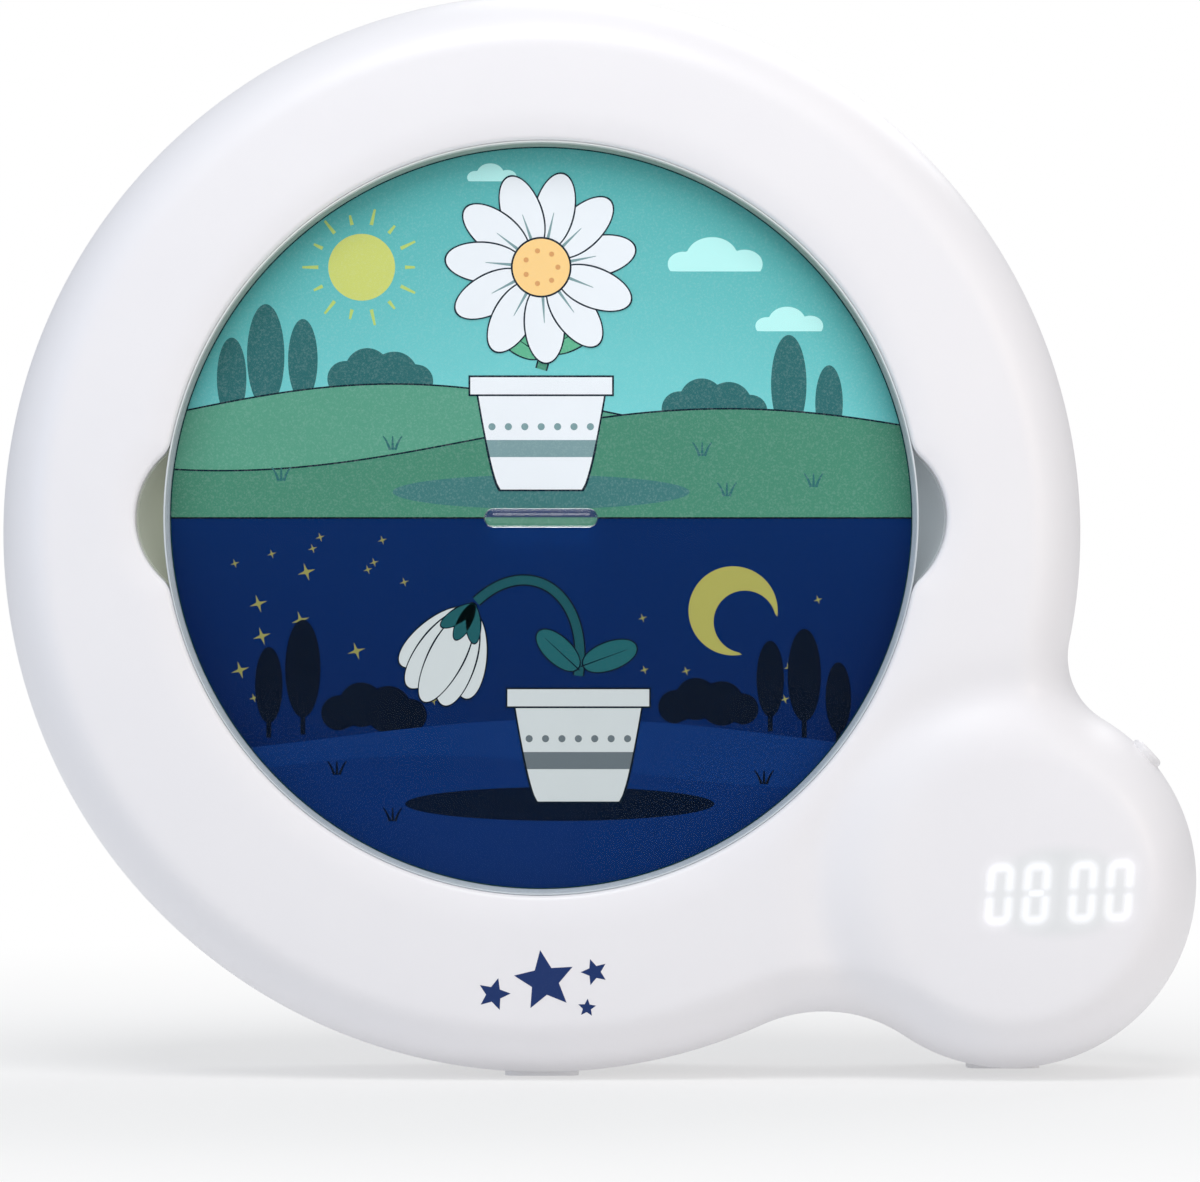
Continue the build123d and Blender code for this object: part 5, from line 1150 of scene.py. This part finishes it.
def cell_jacket(name, low, high):
    """Plain cell jacket: a dark sleeve with a copper band at its positive end, steel at both tips."""
    finish = Finish(name)
    half_length = (high[0] - low[0]) / 2
    along = finish.axes()[0] - (low[0] + high[0]) / 2
    scuffs = finish.noise(2.0, 4.0)
    band = finish.step(along, half_length * 0.52, half_length * 0.53)
    sleeve = finish.mix(band, tone(44, 48, 56), tone(196, 132, 84))
    worn = finish.mix(finish.step(scuffs, 0.62, 0.8) * 0.5, sleeve, tone(150, 150, 150))
    tips = finish.step(abs(along), half_length * 0.965, half_length * 0.97)
    base = finish.mix(tips, worn, tone(190, 190, 188))
    return finish.principled(base, 0.32 + (scuffs - 0.5) * 0.2, Metallic=tips)


def foam(name, colour):
    """Open foam: small cells, with painted shade in their middles."""
    finish = Finish(name)
    cells = finish.node("TexVoronoi", {}, {"Vector": finish.place, "Scale": 2200.0}, "Distance")
    base = finish.mix(cells, dimmed(colour, 0.4), colour)
    return finish.principled(base, 0.95, (cells, 0.15))


def lit_tray(name):
    """Milky tray: a painted glow, as if light from its lamps escaped sideways, brightest across its middle;
    warmer on the left than on the right.
    """
    finish = Finish(name)
    clouds = finish.noise(9.0, 3.0)
    skin = finish.noise(0.35, 3.0)
    right, up = finish.opening_axes()
    side = finish.step(right, -40, 40)
    base = finish.mix(side, tone(188, 192, 178), tone(184, 191, 196))
    worn = finish.mix(clouds * 0.2 + skin * 0.35, base, tone(128, 134, 128))
    # Painted light: the tray glows, most across its middle and in cloudy spots, brightening the finger bays.
    middle = finish.step(abs(up), 13.0, 0.0)
    painted_glow = finish.step(skin + clouds * 0.4, 0.2, 1.1) * 0.12 + middle * 0.12 + 0.06
    return finish.principled(worn, 0.55 + (skin - 0.5) * 0.1, (skin, 0.02),
                             Emission_Color=finish.mix(painted_glow, NO_LIGHT, base), Emission_Strength=1.0)


def lamp_body(name, phosphor):
    """Small lamps: white bodies and coloured lenses, told apart by the blobs of a pattern."""
    return mottled(name, tone(236, 234, 226), phosphor, 0.9, 1.0, 0.3, edges=(0.42, 0.6))


def sheathed(name, colour):
    """Lead: a soft sleeve with a little grime."""
    return mottled(name, dimmed(colour, 0.7), colour, 3.0, 3.0, 0.45, 0.2, 0.01)


SHELL_WHITE = plastic("casing_white", tone(238, 237, 240))
SCREW_STEEL = metal("screw_steel", tone(172, 172, 170), 0.28, 0.3)
LEAD_GREY = sheathed("lead_grey", tone(120, 122, 126))
STUFF = (
    (SHELL_WHITE, "rear_housing battery_door"),
    (clear_plastic("lens_clear"), "clear_lens"),
    (plastic("opal", tone(232, 234, 230), 0.5, 0.5, 0.004), "diffuser"),
    (lit_tray("tray_grey"), "light_box light_divider"),
    (circuit("board_green", tone(28, 92, 62), tone(62, 138, 92)),
     "main_board display_board light_switch_board"),
    (circuit("board_white", tone(226, 226, 220), tone(206, 204, 196)), "day_led_board night_led_board"),
    (lamp_body("lamp_day", tone(236, 206, 96)), "day_leds"),
    (lamp_body("lamp_night", tone(232, 170, 80)), "night_leds"),
    (lamp_body("lamp_digit", tone(240, 236, 190)), "digit_leds"),
    (plastic("chip_black", tone(34, 34, 38), 0.5, 0.3, 0.01),
     "board_chips display_driver tact_switches light_switch"),
    (plastic("key_grey", tone(150, 154, 162), 0.5, 0.3, 0.008),
     "mode_switch_knob button_timer button_hour button_minute button_alarm button_volume"),
    (plastic("key_white", tone(232, 232, 235), grain=0.3), "light_button display_mask"),
    (metal("tinned_steel", tone(196, 196, 192), 0.32),
     "mode_switch_body usb_inlet speaker_basket battery_contacts battery_springs"),
    (plastic("ferrite", tone(70, 70, 74), 0.6, 0.2, 0.02, 0.08), "speaker_magnet"),
    (mottled("cone_paper", tone(24, 24, 26), tone(58, 56, 54), 0.8, 6.0, 0.85, depth=0.05), "speaker_cone"),
    (foam("gasket_foam", tone(70, 70, 72)), "speaker_gasket"),
    (cell_jacket("cell_jacket", *corners("aa_cells")), "aa_cells"),
    (rubber("foot_rubber", tone(240, 240, 242)), "ring_feet"),
    (rubber("pod_foot_rubber", tone(240, 240, 242)), "pod_foot"),
    (sheathed("lead_red", tone(168, 38, 36)), "battery_lead"),
)
FINISHES = {name: finish for finish, names in STUFF for name in names.split()}
for name, node in NODES.items():
    if name.endswith("_lead"):
        usual = LEAD_GREY
    elif "screw" in name:
        usual = SCREW_STEEL
    else:
        usual = SHELL_WHITE
    node.data.materials.clear()
    node.data.materials.append(FINISHES.get(name, usual))
print("finishes on", len(NODES), "pieces of the frame")
